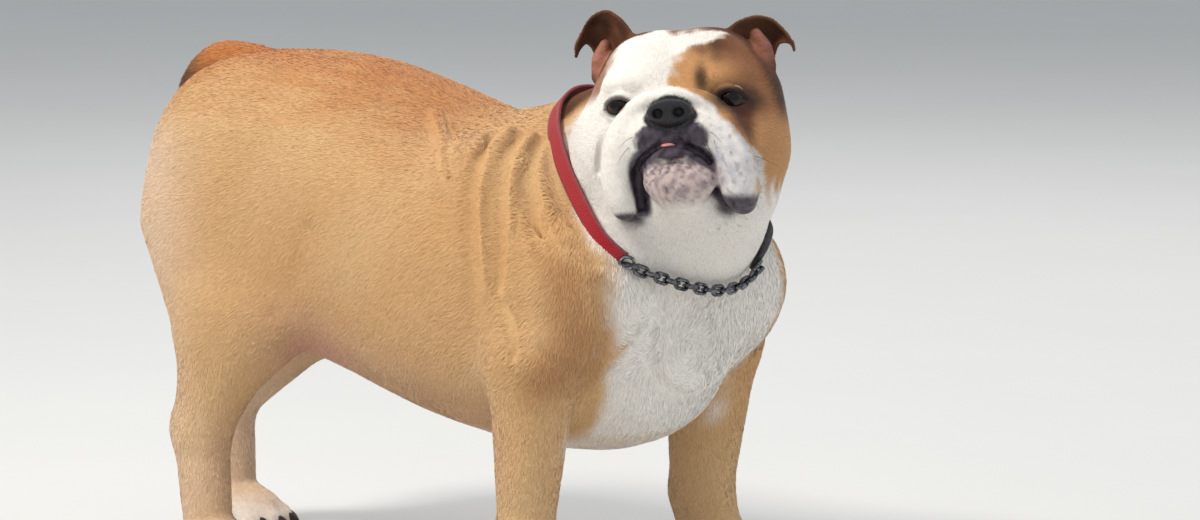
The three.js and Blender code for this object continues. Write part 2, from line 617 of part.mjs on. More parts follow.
// the closed surface of a solid that holds the most volume, so that loose scraps and sealed hollows go
function largest(solid) {
  const out = solid.getMesh();
  const n = out.numVert;
  const root = Int32Array.from({ length: n }, (_, i) => i);
  const find = (i) => {
    let r = i;
    while (root[r] !== r) r = root[r];
    while (root[i] !== r) [root[i], i] = [r, root[i]];
    return r;
  };
  const tri = out.triVerts;
  const merge = new Map();
  for (let i = 0; i < out.mergeFromVert.length; i += 1) merge.set(out.mergeFromVert[i], out.mergeToVert[i]);
  const id = (v) => merge.get(v) ?? v;
  for (let i = 0; i < tri.length; i += 3) {
    for (let k = 1; k < 3; k += 1) root[find(id(tri[i]))] = find(id(tri[i + k]));
  }
  const point = (v) => [0, 1, 2].map((k) => out.vertProperties[v * out.numProp + k]);
  const volume = new Map();
  for (let i = 0; i < tri.length; i += 3) {
    const [p, q, r] = [id(tri[i]), id(tri[i + 1]), id(tri[i + 2])];
    const key = find(p);
    volume.set(key, (volume.get(key) ?? 0) + dot(point(p), cross(point(q), point(r))) / 6);
  }
  const best = [...volume.entries()].sort((a, b) => b[1] - a[1])[0][0];
  if (volume.size === 1) return solid;
  const used = new Map();
  const verts = [];
  const faces = [];
  for (let i = 0; i < tri.length; i += 3) {
    const t = [id(tri[i]), id(tri[i + 1]), id(tri[i + 2])];
    if (find(t[0]) !== best) continue;
    faces.push(t.map((v) => {
      if (!used.has(v)) {
        used.set(v, verts.length);
        verts.push(point(v));
      }
      return used.get(v);
    }));
  }
  return solidOf({ verts, faces });
}

// keeps the part of a solid inside a cutter and the part outside the grown cutter
function carve(solid, cutter, grown) {
  return [largest(solid.intersect(cutter)), largest(solid.subtract(grown))];
}
function fromGeometry(geometry) {
  const position = geometry.getAttribute('position').array;
  const count = position.length / 3;
  const tri = geometry.index
    ? Uint32Array.from(geometry.index.array)
    : Uint32Array.from({ length: count }, (_, i) => i);
  const mesh = new Mesh({ numProp: 3, vertProperties: Float32Array.from(position), triVerts: tri });
  mesh.merge();
  return new Manifold(mesh);
}
function boxCutter(lo, hi, grow) {
  const size = [0, 1, 2].map((k) => hi[k] - lo[k] + 2 * grow);
  const g = new THREE.BoxGeometry(...size);
  g.translate(...[0, 1, 2].map((k) => (lo[k] + hi[k]) / 2));
  return fromGeometry(g);
}
function ballCutter(c, r, axes, grow) {
  const g = new THREE.IcosahedronGeometry(1, 2);
  const [A, B, C] = axes.map((a, k) => scaled(a, r[k] + grow));
  const rows = [0, 1, 2].map((k) => [A[k], B[k], C[k], c[k]]);
  g.applyMatrix4(new THREE.Matrix4().set(...rows.flat(), 0, 0, 0, 1));
  return fromGeometry(g);
}
function carveBox(solid, lo, hi) {
  return carve(solid, boxCutter(lo, hi, 0), boxCutter(lo, hi, GAP));
}
function carveBall(solid, c, r, axes = WORLD) {
  return carve(solid, ballCutter(c, r, axes, 0), ballCutter(c, r, axes, GAP));
}
// parts of a solid before and behind a plane, with the gap between them
function carvePlane(solid, normal, offset) {
  const n = unit(normal);
  const before = solid.trimByPlane(n, offset + GAP / 2);
  const behind = solid.trimByPlane(scaled(n, -1), GAP / 2 - offset);
  return [largest(before), largest(behind)];
}

// closed solid from a grid of points: rows of closed rings, capped at both ends
function ringSolid(rings, closed) {
  const n = rings[0].length;
  const verts = rings.flat();
  const faces = [];
  const rows = closed ? rings.length : rings.length - 1;
  for (let j = 0; j < rows; j += 1) {
    const k = ((j + 1) % rings.length) * n;
    for (let i = 0; i < n; i += 1) {
      const [a, b] = [j * n + i, j * n + (i + 1) % n];
      const [c, d] = [k + (i + 1) % n, k + i];
      faces.push([a, b, c], [a, c, d]);
    }
  }
  if (!closed) {
    // each end is closed by a strip between the two halves of its ring, so that a bent ring doesn't fold
    const last = (rings.length - 1) * n;
    for (let i = 0, k = n; i < k - 1;) {
      const [p, q, r] = [i, i + 1, k - 1];
      if (q === r) break;
      faces.push([p, r % n, q], [last + p, last + q, last + (r % n)]);
      if (k - 1 > i + 2) {
        const t = k - 2;
        faces.push([q, r, t], [last + q, last + t, last + r]);
      }
      i += 1;
      k -= 1;
    }
  }
  const solid = solidOf({ verts, faces });
  return solid.volume() < 0 ? solidOf({ verts, faces: faces.map(([a, b, c]) => [a, c, b]) }) : solid;
}

// Ears
// Rows of the leaf from its root to its tip: front edge, middle and back edge, in the head frame, left side.
const EAR = {
  left: [
    [[2, 30, 54], [-12, 45, 42], [-12, 60, 24]], [[3, 34, 61], [-18, 50, 52], [-16, 63, 34]],
    [[0, 43, 69], [-22, 58, 61], [-20, 66, 45]],
    [[-5, 55, 73], [-23, 66, 65], [-20, 70, 53]], [[-9, 66, 71], [-20, 72, 64], [-19, 75, 54]],
    [[-10, 75, 63], [-16, 78, 58], [-17, 80, 52]], [[-11, 81, 54], [-13.5, 82, 51], [-15, 82, 47]]],
  right: [
    [[2, 30, 56], [-12, 45, 44], [-12, 60, 28]], [[3, 34, 65], [-18, 50, 56], [-16, 62, 40]],
    [[0, 42, 77], [-22, 56, 69], [-20, 65, 53]],
    [[-5, 53, 85], [-23, 64, 76], [-20, 69, 62]], [[-9, 65, 82], [-20, 71, 74], [-19, 73, 64]],
    [[-10, 73, 72], [-15.5, 76, 67], [-17, 77, 60]], [[-11, 79, 62], [-13, 79.6, 58], [-15, 80, 54]]] };
const EAR_THICK = [4.2, 2.6];
const EAR_ROWS = 11;
const EAR_COLUMNS = 7;
function earSolid(side, grow) {
  const s = SIDE[side];
  const control = EAR[side];
  const lines = [0, 1, 2].map((k) => curve(control.map((row) => row[k]), EAR_ROWS));
  const sheet = Array.from({ length: EAR_ROWS }, (_, j) => Array.from({ length: EAR_COLUMNS }, (_, i) => {
    const v = i / (EAR_COLUMNS - 1);
    const w = [(1 - v) * (1 - 2 * v), 4 * v * (1 - v), v * (2 * v - 1)];
    const q = [0, 1, 2].map((c) => w[0] * lines[0][j][c] + w[1] * lines[1][j][c] + w[2] * lines[2][j][c]);
    return headPoint(mirrored(q, s));
  }));
  const clamp = (v, top) => Math.min(top - 1, Math.max(0, v));
  const at = (j, i) => sheet[clamp(j, EAR_ROWS)][clamp(i, EAR_COLUMNS)];
  const rings = sheet.map((row, j) => {
    const half = (EAR_THICK[0] + (EAR_THICK[1] - EAR_THICK[0]) * j / (EAR_ROWS - 1)) / 2 + grow;
    const outward = (p, i) => {
      const lengthways = add(at(j + 1, i), at(j - 1, i), -1);
      return unit(cross(lengthways, add(at(j, i + 1), at(j, i - 1), -1)));
    };
    let ends = [0, 0, 0];
    if (j === 0) ends = add(row[3], at(1, 3), -1);
    if (j === EAR_ROWS - 1) ends = add(row[3], at(j - 1, 3), -1);
    const push = Math.hypot(...ends) > 0 ? scaled(unit(ends), j === 0 ? grow + 0.01 : grow) : [0, 0, 0];
    const front = row.map((p, i) => add(add(p, outward(p, i), half * edge(i)), push));
    const back = row.map((p, i) => add(add(p, outward(p, i), -half * edge(i)), push)).reverse();
    const along0 = unit(add(row[0], row[1], -1));
    const along1 = unit(add(row[EAR_COLUMNS - 1], row[EAR_COLUMNS - 2], -1));
    return [add(row[0], along0, half), ...front, add(row[EAR_COLUMNS - 1], along1, half), ...back];
  });
  return ringSolid(rings, false);
}
const edge = (i) => (i === 0 || i === EAR_COLUMNS - 1 ? 0.85 : 1);

// Collar
const COLLAR = { normal: [0.71, 0, 0.704], centre: [198, -12, 309], thick: 3.2 };
const STRAP_RED = { from: 162, to: 302, wide: [13, 14, 12], count: 24 };
const STRAP_BLACK = { from: 36, to: 160, wide: [13, 14, 13], count: 22 };
const CHAIN = { from: 305.5, to: 392, links: 17, wire: 1.5, broad: 9.5, bite: 0.5, lift: 1.6 };
const collarAxes = (() => {
  const n = unit(COLLAR.normal);
  const e1 = unit(cross([0, 1, 0], n));
  return [n, e1, cross(n, e1)];
})();
// point of the skin in the collar plane at an angle, with its outward and tangent directions
function collarRay(angle) {
  const a = angle * RAD;
  return add(scaled(collarAxes[1], Math.cos(a)), collarAxes[2], Math.sin(a));
}
function collarReach(angle) {
  const d = collarRay(angle);
  let r = 30;
  while (r < 160 && fieldAt(...add(COLLAR.centre, d, r)) < 0) r += 2;
  let lo = r - 2;
  for (let k = 0; k < 12; k += 1) {
    const mid = (lo + r) / 2;
    if (fieldAt(...add(COLLAR.centre, d, mid)) < 0) lo = mid; else r = mid;
  }
  return r;
}
// reach of the collar, evened out so that it spans hollows like a taut band
const collarTable = [];
function buildCollarTable() {
  const raw = Array.from({ length: 72 }, (_, i) => collarReach(i * 5));
  const flat = raw.map((r, i) => [r * Math.cos(i * 5 * RAD), r * Math.sin(i * 5 * RAD)]);
  const hull = raw.map((r, i) => {
    let best = r;
    const dir = [Math.cos(i * 5 * RAD), Math.sin(i * 5 * RAD)];
    for (let a = 1; a < 12; a += 1) {
      for (let b = 1; b < 12; b += 1) {
        const [p, q] = [flat[(i - a + 72) % 72], flat[(i + b) % 72]];
        const e = [q[0] - p[0], q[1] - p[1]];
        const den = dir[0] * e[1] - dir[1] * e[0];
        if (Math.abs(den) < 1e-6) continue;
        best = Math.max(best, (p[0] * e[1] - p[1] * e[0]) / den);
      }
    }
    return best;
  });
  for (let i = 0; i < 72; i += 1) {
    let sum = 0;
    for (let k = -2; k <= 2; k += 1) sum += hull[(i + k + 72) % 72];
    collarTable.push(Math.max(sum / 5, raw[i]));
  }
}
function collarPoint(angle, out) {
  const t = ((angle % 360) + 360) % 360 / 5;
  const i = Math.floor(t);
  const r = collarTable[i % 72] * (1 - t + i) + collarTable[(i + 1) % 72] * (t - i);
  return add(COLLAR.centre, collarRay(angle), r + out);
}
function strapSolid(strap, grow) {
  const rings = Array.from({ length: strap.count }, (_, j) => {
    const angle = strap.from + (strap.to - strap.from) * j / (strap.count - 1);
    const tangent = unit(add(collarPoint(angle + 2, 0), collarPoint(angle - 2, 0), -1));
    const out = unit(cross(tangent, collarAxes[0]));
    const outward = dot(out, collarRay(angle)) < 0 ? scaled(out, -1) : out;
    const wide = along(strap.wide, strap.count)[j] / 2 + grow;
    const base = add(collarPoint(angle, 0), tangent, j === 0 ? -grow : j === strap.count - 1 ? grow : 0);
    const [low, high] = [0.4 - grow, 0.4 + COLLAR.thick + grow];
    const n = collarAxes[0];
    const corners = [[low, -wide], [high, -wide + BEVEL], [high, wide - BEVEL], [low, wide]];
    return corners.map(([up, side]) => add(add(base, outward, up), n, side));
  });
  return ringSolid(rings, false);
}
// one link: a wire round a stadium in the plane of a and b, at c
function linkSolid(c, a, b, long, broad, wire, steps = 8, sides = 4) {
  const n = cross(a, b);
  const r = broad / 2 - wire;
  const h = long / 2 - wire - r;
  const rings = Array.from({ length: steps }, (_, j) => {
    const t = (j + 0.5) * 2 * Math.PI / steps;
    const shift = Math.abs(Math.cos(t)) < 1e-6 ? 0 : Math.sign(Math.cos(t)) * h;
    const p = add(add(c, a, Math.cos(t) * r + shift), b, Math.sin(t) * r);
    const o = add(scaled(a, Math.cos(t)), b, Math.sin(t));
    return Array.from({ length: sides }, (_, i) => {
      const s = (i + 0.5) * 2 * Math.PI / sides;
      return add(add(p, o, Math.cos(s) * wire), n, Math.sin(s) * wire);
    });
  });
  return ringSolid(rings, true);
}
// angles of points spread evenly by length along the collar
function evenAngles(from, to, count, out) {
  const fine = Array.from({ length: 241 }, (_, i) => from + (to - from) * i / 240);
  const points = fine.map((a) => collarPoint(a, out));
  const run = [0];
  for (let i = 1; i < points.length; i += 1) {
    run.push(run[i - 1] + Math.hypot(...add(points[i], points[i - 1], -1)));
  }
  const pitch = run[240] / (count - 1);
  const angles = Array.from({ length: count }, (_, j) => {
    let i = 1;
    while (i < 240 && run[i] < j * pitch) i += 1;
    return fine[i - 1] + (fine[i] - fine[i - 1]) * (j * pitch - run[i - 1]) / (run[i] - run[i - 1]);
  });
  return { angles, pitch };
}
// furrow that keeps the flesh clear of the chain
function chainBed() {
  const out = CHAIN.broad / 2 + CHAIN.lift;
  const reach = (CHAIN.broad / 2 + 2 * GAP) * BED_CORNER;
  const rings = Array.from({ length: 14 }, (_, j) => {
    const angle = CHAIN.from - 3 + (CHAIN.to - CHAIN.from + 6) * j / 13;
    const c = collarPoint(angle, out);
    return Array.from({ length: 6 }, (_, i) => {
      const t = (i + 0.5) * Math.PI / 3;
      return add(add(c, collarRay(angle), Math.sin(t) * reach), collarAxes[0], Math.cos(t) * reach);
    });
  });
  return ringSolid(rings, false);
}
function chainSolid() {
  const out = CHAIN.broad / 2 + CHAIN.lift;
  const { angles, pitch } = evenAngles(CHAIN.from, CHAIN.to, CHAIN.links, out);
  const centres = angles.map((a) => collarPoint(a, out));
  const parts = centres.map((c, i) => {
    const before = centres[Math.max(0, i - 1)];
    const after = centres[Math.min(CHAIN.links - 1, i + 1)];
    const tangent = unit(add(after, before, -1));
    const side = unit(cross(tangent, collarRay(angles[i])));
    const outward = unit(cross(side, tangent));
    const turn = (i % 2 ? 42 : -42) * RAD;
    const b = add(scaled(side, Math.cos(turn)), outward, Math.sin(turn));
    return linkSolid(c, tangent, b, pitch + 4 * CHAIN.wire - CHAIN.bite, CHAIN.broad, CHAIN.wire);
  });
  return largest(Manifold.union(parts));
}

// Build and part
shapeBody();
shapeHead();
const surface = surfaceOf(gridLine(GRID_X), gridLine(GRID_Y), gridLine(GRID_Z));
settle(surface.verts, 2, 2.0);
const faceWeight = (p) => {
  const q = add(p, HEAD.at, -1);
  const f = dot(q, HEAD_AXES[0]);
  return Math.hypot(...q) < 112 && f > 8 ? 4 : p[2] < 46 ? 1.5 : 0.6;
};
const thinned = thin(surface.verts, surface.faces, TRIANGLES, faceWeight);
let flesh = largest(solidOf(thinned).trimByPlane([0, 0, 1], 0));
buildCollarTable();

const nodes = {};
const take = (name, [piece, rest]) => {
  nodes[name] = piece;
  return rest;
};
const collarOffset = dot(unit(COLLAR.normal), COLLAR.centre);
let head;
[head, flesh] = carvePlane(flesh, COLLAR.normal, collarOffset);
[nodes.neck, flesh] = carvePlane(flesh, COLLAR.normal, collarOffset - NECK_LENGTH);
for (const side of ['right', 'left']) {
  const s = SIDE[side];
  const f = FORE[side];
  const h = HIND[side];
  // box with its ends before and behind a joint, its sides out from the middle plane and two heights
  const block = (at, [behind, before], [near, far], [low, high]) => {
    const [y0, y1] = s > 0 ? [near, far] : [-far, -near];
    return [[at[0] - behind, y0, low], [at[0] + before, y1, high]];
  };
  const cuts = CUTS.fore;
  const forePaw = block(f.paw, cuts.paw, cuts.aside, [CUTS.ground, cuts.top]);
  const arm = block(f.elbow, cuts.arm, cuts.aside, [cuts.top + GAP, f.elbow[2] - cuts.belowElbow]);
  flesh = take(`paw_fore_${side}`, carveBox(flesh, ...forePaw));
  flesh = take(`foreleg_${side}`, carveBox(flesh, ...arm));
  const { hind } = CUTS;
  const hindPaw = block(h.paw, hind.paw, hind.aside, [CUTS.ground, hind.top]);
  flesh = take(`paw_hind_${side}`, carveBox(flesh, ...hindPaw));
  const [low, high] = block(h.hock, hind.shank, hind.aside, [hind.top + GAP, hind.shankTop]);
  high[0] = h.knee[0] + hind.shank[1];
  const thighAt = add(h.hip, mirrored(hind.thigh, s));
  const leg = (grow) => ballCutter(thighAt, hind.thighRadii, WORLD, grow).add(boxCutter(low, high, grow));
  flesh = take(`hind_leg_${side}`, carve(flesh, leg(0), leg(GAP)));
}
flesh = take('tail', carveBall(flesh, CUTS.tail, CUTS.tailRadii));
[nodes.chest, nodes.rump] = carvePlane(flesh, [1, 0, 0], CUTS.waist);

// collar laid on the neck, its bed cut out of the flesh
const collar = {
  collar_strap_red: [strapSolid(STRAP_RED, 0), strapSolid(STRAP_RED, GAP)],
  collar_strap_black: [strapSolid(STRAP_BLACK, 0), strapSolid(STRAP_BLACK, GAP)],
  collar_chain: [chainSolid(), chainBed()] };
// eyes, ears, nose and jaw of the head
for (const side of ['right', 'left']) {
  const at = headPoint(mirrored(EYE.at, SIDE[side]));
  const sphere = (r) => fromGeometry(new THREE.IcosahedronGeometry(r, 2).translate(...at));
  nodes[`eye_${side}`] = sphere(EYE.radius);
  head = largest(head.subtract(sphere(EYE.radius + GAP)));
  nodes[`ear_${side}`] = earSolid(side, 0);
  head = largest(head.subtract(earSolid(side, GAP)));
}
head = take('nose', carveBall(head, headPoint(CUTS.nose), CUTS.noseRadii, HEAD_AXES));
head = take('jaw', carveBall(head, headPoint(CUTS.jaw), CUTS.jawRadii, HEAD_AXES));
nodes.head = head;
for (const [name, [strap, bed]] of Object.entries(collar)) {
  for (const part of Object.keys(nodes)) {
    if (part.startsWith('collar')) continue;
    const cut = nodes[part].subtract(bed);
    if (cut.volume() < nodes[part].volume() - LEAST_CUT) nodes[part] = largest(cut);
  }
  nodes[name] = strap;
}

// Hand over
const PAINT = {
  flesh: 0xc79a6b, leather: 0x2b2a2c, eye: 0x2b1a12, red: 0xc4192c, black: 0x161518, steel: 0x6d6f73 };
const paintOf = (name) => {
  if (name === 'nose') return ['leather', 0.45, 0];
  if (name.startsWith('eye')) return ['eye', 0.08, 0];
  if (name === 'collar_strap_red') return ['red', 0.7, 0];
  if (name === 'collar_strap_black') return ['black', 0.7, 0];
  if (name.startsWith('collar')) return ['steel', 0.3, 1];
  return ['flesh', 0.85, 0];
};
const dog = new THREE.Group();
dog.name = 'english_bulldog';
for (const [name, solid] of Object.entries(nodes)) {
  const out = solid.getMesh();
  const geometry = new THREE.BufferGeometry();
  const position = new Float32Array(out.numVert * 3);
  for (let i = 0; i < out.numVert; i += 1) {
    for (let k = 0; k < 3; k += 1) {
      position[i * 3 + k] = out.vertProperties[i * out.numProp + k] - (CENTRE[k] ?? 0);
    }
  }
  geometry.setAttribute('position', new THREE.BufferAttribute(position, 3));
  geometry.setIndex(new THREE.BufferAttribute(Uint32Array.from(out.triVerts), 1));
  geometry.computeVertexNormals();
  const [paint, roughness, metalness] = paintOf(name);
  const material = new THREE.MeshStandardMaterial({ color: PAINT[paint], roughness, metalness });
  const mesh = new THREE.Mesh(geometry, material);
  mesh.name = name;
  dog.add(mesh);
}
export default dog;
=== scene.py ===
"""English bulldog, standing with its head turned to its right: skin, coat, eyes, claws and collar.

Forms are given in millimetres in the dog's own axes, X to the head, Y to its left, Z up, and are
handed over in metres by place(), which also centres the dog on its stance.
"""
import json
import math

import bpy
import numpy as np
from mathutils import Matrix

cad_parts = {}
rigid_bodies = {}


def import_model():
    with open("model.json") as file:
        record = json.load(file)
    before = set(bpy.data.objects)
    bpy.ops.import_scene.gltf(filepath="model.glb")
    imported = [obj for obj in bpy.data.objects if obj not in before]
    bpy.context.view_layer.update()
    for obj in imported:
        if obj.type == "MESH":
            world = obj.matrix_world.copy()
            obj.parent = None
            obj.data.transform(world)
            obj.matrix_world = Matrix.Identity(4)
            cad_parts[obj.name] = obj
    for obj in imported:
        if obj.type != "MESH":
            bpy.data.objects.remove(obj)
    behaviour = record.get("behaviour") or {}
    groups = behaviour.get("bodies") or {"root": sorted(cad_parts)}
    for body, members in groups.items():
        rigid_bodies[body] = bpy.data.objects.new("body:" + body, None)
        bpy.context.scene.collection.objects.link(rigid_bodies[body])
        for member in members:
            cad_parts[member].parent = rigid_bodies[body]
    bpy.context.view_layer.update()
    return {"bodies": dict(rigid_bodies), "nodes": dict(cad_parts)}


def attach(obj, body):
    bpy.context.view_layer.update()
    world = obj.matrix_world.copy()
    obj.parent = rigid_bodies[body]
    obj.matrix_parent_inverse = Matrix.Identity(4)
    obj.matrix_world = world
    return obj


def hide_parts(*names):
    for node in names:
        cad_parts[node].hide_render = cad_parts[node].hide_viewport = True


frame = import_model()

# Sizes in millimetres and degrees
MM = 0.001
CENTRE = np.array([31.1, 0.2, 0.0])
SIDES = {"right": -1, "left": 1}
BODY = next(iter(frame["bodies"]))

# Trunk sections: x, top z, bottom z, half width
TRUNK = np.array([
    [-229, 316, 262, 44], [-213, 346, 228, 62], [-195, 376, 203, 82], [-168, 392, 184, 98],
    [-130, 396, 172, 103], [-90, 396, 160, 103], [-50, 391, 148, 107], [-10, 380, 135, 115],
    [30, 366, 124, 125], [70, 353, 116, 132], [110, 348, 110, 135], [150, 338, 108, 130],
    [185, 318, 112, 114], [215, 285, 130, 86], [232, 250, 168, 50]], float)
TRUNK_POWER = 2.25

HEAD_AT = np.array([249.0, -38.0, 363.0])
HEAD_YAW, HEAD_PITCH, HEAD_ROLL = -66, 8, 5
EYE_AT, EYE_RADIUS = (41.5, 40, 12), 11.5

FORE = {
    "right": dict(blade=(116, -74, 302), point=(184, -90, 244), elbow=(170, -120, 188),
                  wrist=(162, -119, 62), paw=(180, -122, 21), yaw=-16, arm=35, forearm=31, cannon=21.5),
    "left": dict(blade=(116, 74, 302), point=(190, 92, 226), elbow=(174, 121, 182),
                 wrist=(167, 117, 62), paw=(186, 120, 21), yaw=12, arm=38, forearm=35, cannon=25)}
HIND = {
    "right": dict(hip=(-148, -52, 305), knee=(-122, -80, 198), hock=(-164, -80, 106),
                  fetlock=(-158, -81, 38), paw=(-140, -84, 20), yaw=-14),
    "left": dict(hip=(-162, 52, 305), knee=(-152, 72, 200), hock=(-246, 64, 106),
                 fetlock=(-243, 66, 38), paw=(-222, 66, 20), yaw=6)}
TAIL = [(-172, 0, 380), (-196, -2, 384), (-214, -5, 376), (-226, -8, 360), (-232, -10, 342)]
TAIL_RADII = (19, 7)


# Frames, curves and shape arithmetic
def unit(v):
    """The vector over its own length."""
    v = np.asarray(v, float)
    return v / (np.linalg.norm(v, axis=-1, keepdims=True) + 1e-12)


def axes_of(yaw, pitch, roll):
    """Forward, left and up axes, as rows, for a yaw, a pitch and a roll in degrees."""
    y, p, r = np.radians([yaw, pitch, roll])
    f = np.array([math.cos(p) * math.cos(y), math.cos(p) * math.sin(y), math.sin(p)])
    l0 = np.array([-math.sin(y), math.cos(y), 0.0])
    l = l0 * math.cos(r) + np.cross(f, l0) * math.sin(r)
    return np.array([f, l, np.cross(f, l)])


HEAD_AXES = axes_of(HEAD_YAW, HEAD_PITCH, HEAD_ROLL)
WORLD = np.eye(3)


def head_point(q):
    """Points given forward, left and up of the head's middle, in the dog's axes."""
    return HEAD_AT + np.asarray(q, float) @ HEAD_AXES


def in_head(points):
    """The other way: forward, left and up of the head's middle."""
    return (points - HEAD_AT) @ HEAD_AXES.T


def curve(points, count):
    """Catmull-Rom spline: between two points, the cubic whose ends have the slope of their neighbours."""
    p = np.asarray(points, float)
    p = np.vstack([2 * p[0] - p[1], p, 2 * p[-1] - p[-2]])
    spans = len(p) - 3
    t = np.linspace(0, spans, count)
    i = np.minimum(t.astype(int), spans - 1)
    u = (t - i)[:, None]
    a, b, c, d = p[i], p[i + 1], p[i + 2], p[i + 3]
    return 0.5 * (2 * b + (c - a) * u + (2 * a - 5 * b + 4 * c - d) * u**2 + (3 * b - a - 3 * c + d) * u**3)


def spread(values, count):
    """A list of values drawn out evenly to a length, or one value repeated."""
    values = np.atleast_1d(np.asarray(values, float))
    return np.interp(np.linspace(0, 1, count), np.linspace(0, 1, len(values)), values)


def soft_min(a, b, k):
    """The smaller of two distances, with a fillet of width k where they are alike."""
    h = np.clip(0.5 + 0.5 * (a - b) / k, 0, 1)
    return a + (b - a) * h - k * h * (1 - h)


def ramp(x, low, high):
    """Smooth step from 0 at low to 1 at high."""
    t = np.clip((x - low) / (high - low), 0, 1)
    return t * t * (3 - 2 * t)


def ripple(points, size, seed, waves=9):
    """Soft noise from -1 to 1: a sum of sine waves of wavelength near size in random directions."""
    rng = np.random.default_rng(seed)
    total = np.zeros(len(points))
    for _ in range(waves):
        way = unit(rng.normal(size=3)) * 2 * math.pi / (size * rng.uniform(0.7, 1.5))
        total += np.sin(points @ way + rng.uniform(0, 2 * math.pi))
    return total / math.sqrt(waves) / 1.4


# Forms of the flesh. Each is a distance function with the box it fills and the width of its blend.
forms = []
MARGIN = 8                      # how far past its box and blend a form still counts
FAR = 1e3                       # a distance past every form


def add_form(distance, points, reach, blend, cut):
    """Keeps a form with the box of its points, widened by its reach."""
    points = np.atleast_2d(points)
    forms.append((distance, points.min(0) - reach, points.max(0) + reach, blend, cut))


def ball(blend, centre, radii, axes=WORLD, cut=False):
    """Ellipsoid: k0 (k0 - 1) / k1, with k0 and k1 the lengths of q over r and of q over r squared."""
    radii = np.ones(3) * radii
    centre = np.asarray(centre, float)

    def distance(x, y, z):
        q = (x - centre[0], y - centre[1], z - centre[2])
        k0 = k1 = 1e-9
        for axis, r in zip(axes, radii):
            w = (q[0] * axis[0] + q[1] * axis[1] + q[2] * axis[2]) / r
            k0 = k0 + w * w
            k1 = k1 + (w / r)**2
        k0 = np.sqrt(k0)
        return k0 * (k0 - 1) / np.sqrt(k1)
    add_form(distance, centre, radii.max(), blend, cut)


def bar(a, b, ra, rb, flat=None):
    """Distance to a tapered bar with round ends; flat = (direction, squash) thins it along one way."""
    a, b = np.asarray(a, float), np.asarray(b, float)
    n, s = (unit(flat[0]), 1 / flat[1] - 1) if flat else (np.zeros(3), 0.0)
    e = (b - a) + n * ((b - a) @ n) * s
    ee = e @ e

    def distance(x, y, z):
        qx, qy, qz = x - a[0], y - a[1], z - a[2]
        if s:
            w = (qx * n[0] + qy * n[1] + qz * n[2]) * s
            qx, qy, qz = qx + n[0] * w, qy + n[1] * w, qz + n[2] * w
        t = np.clip((qx * e[0] + qy * e[1] + qz * e[2]) / ee, 0, 1)
        gap = np.sqrt((qx - e[0] * t)**2 + (qy - e[1] * t)**2 + (qz - e[2] * t)**2)
        return gap - (ra + (rb - ra) * t)
    return distance


def limb(blend, a, b, ra, rb, flat=None):
    """One tapered bar."""
    add_form(bar(a, b, ra, rb, flat), [a, b], max(ra, rb), blend, False)


def tube(blend, points, radii, cut=False):
    """Bent tube: the least distance to the bars along a spline."""
    path = curve(points, 3 * len(points))
    sizes = spread(radii, len(path))
    bars = [bar(path[i], path[i + 1], sizes[i], sizes[i + 1]) for i in range(len(path) - 1)]

    def distance(x, y, z):
        least = bars[0](x, y, z)
        for each in bars[1:]:
            least = np.minimum(least, each(x, y, z))
        return least
    add_form(distance, path, sizes.max(), blend, cut)


def head_ball(blend, centre, radii, cut=False):
    """Ellipsoid placed in the head's axes."""
    ball(blend, head_point(centre), radii, HEAD_AXES, cut)


def head_tube(blend, points, radii, cut=False):
    """Bent tube placed in the head's axes."""
    tube(blend, head_point(points), radii, cut)


def mirrored(points, s):
    """Points of the head with their left and right changed over for s = -1."""
    return np.asarray(points, float) * [1, s, 1]


def shape_paw(centre, yaw, size):
    """Pad of the paw and its four toes."""
    f, l, u = axes_of(yaw, 0, 0)
    centre = np.asarray(centre, float)
    ball(8, centre - f * 6 * size - u * 2, np.array([30, 25, 20]) * size, (f, l, u))
    for ahead, aside in TOES:
        root = centre + f * (ahead - 22) * size + l * aside * 0.6 * size + u * 8 * size
        tip = centre + f * ahead * size + l * aside * size - u * 9
        limb(4, root, tip, 11 * size, 12.2 * size)


TOES = [(10, -21), (19, -8), (19, 8), (10, 21)]


def shape_body():
    """Thighs, shanks, shoulders, forelegs, neck and tail, laid over the trunk."""
    side_on = (0, 1, 0)
    for side, s in SIDES.items():
        h = {k: np.array(v, float) if k != "yaw" else v for k, v in HIND[side].items()}
        limb(26, h["hip"], h["knee"], 78, 50, (side_on, 0.62))
        limb(20, h["hip"] + [-32, s * 3, -42], h["knee"] + [-32, 0, -8], 52, 33, (side_on, 0.8))
        limb(18, h["knee"], h["hock"], 41, 23, (side_on, 0.8))
        limb(14, h["knee"] + [-26, 0, 6], h["hock"], 29, 18)
        limb(10, h["hock"], h["fetlock"], 22.5, 20)
        limb(8, h["hock"] + [-9, 0, 8], h["hock"] + [-3, 0, -14], 14, 14)
        shape_paw(h["paw"], h["yaw"], 1.0)
        f = {k: np.array(v, float) if isinstance(v, tuple) else v for k, v in FORE[side].items()}
        limb(26, f["blade"], f["point"], 50, 57, (side_on, 0.76))
        limb(22, f["point"], f["elbow"], 55, f["arm"], (side_on, 0.9))
        limb(16, f["elbow"], f["wrist"], f["forearm"] + 3, f["cannon"])
        ball(12, f["elbow"] + [-16, 0, 2], (19, 18, 23))
        limb(8, f["wrist"], f["paw"] + [-14, 0, 12], f["cannon"], f["cannon"] + 1)
        shape_paw(f["paw"], f["yaw"], 1.1)
    ball(30, (200, 0, 212), (46, 84, 70))
    limb(26, (96, 0, 288), (196, -2, 328), 62, 66)
    ball(26, (214, 34, 296), (52, 58, 58))
    limb(30, (112, 0, 268), (216, -14, 300), 86, 74)
    tube(8, TAIL, TAIL_RADII)


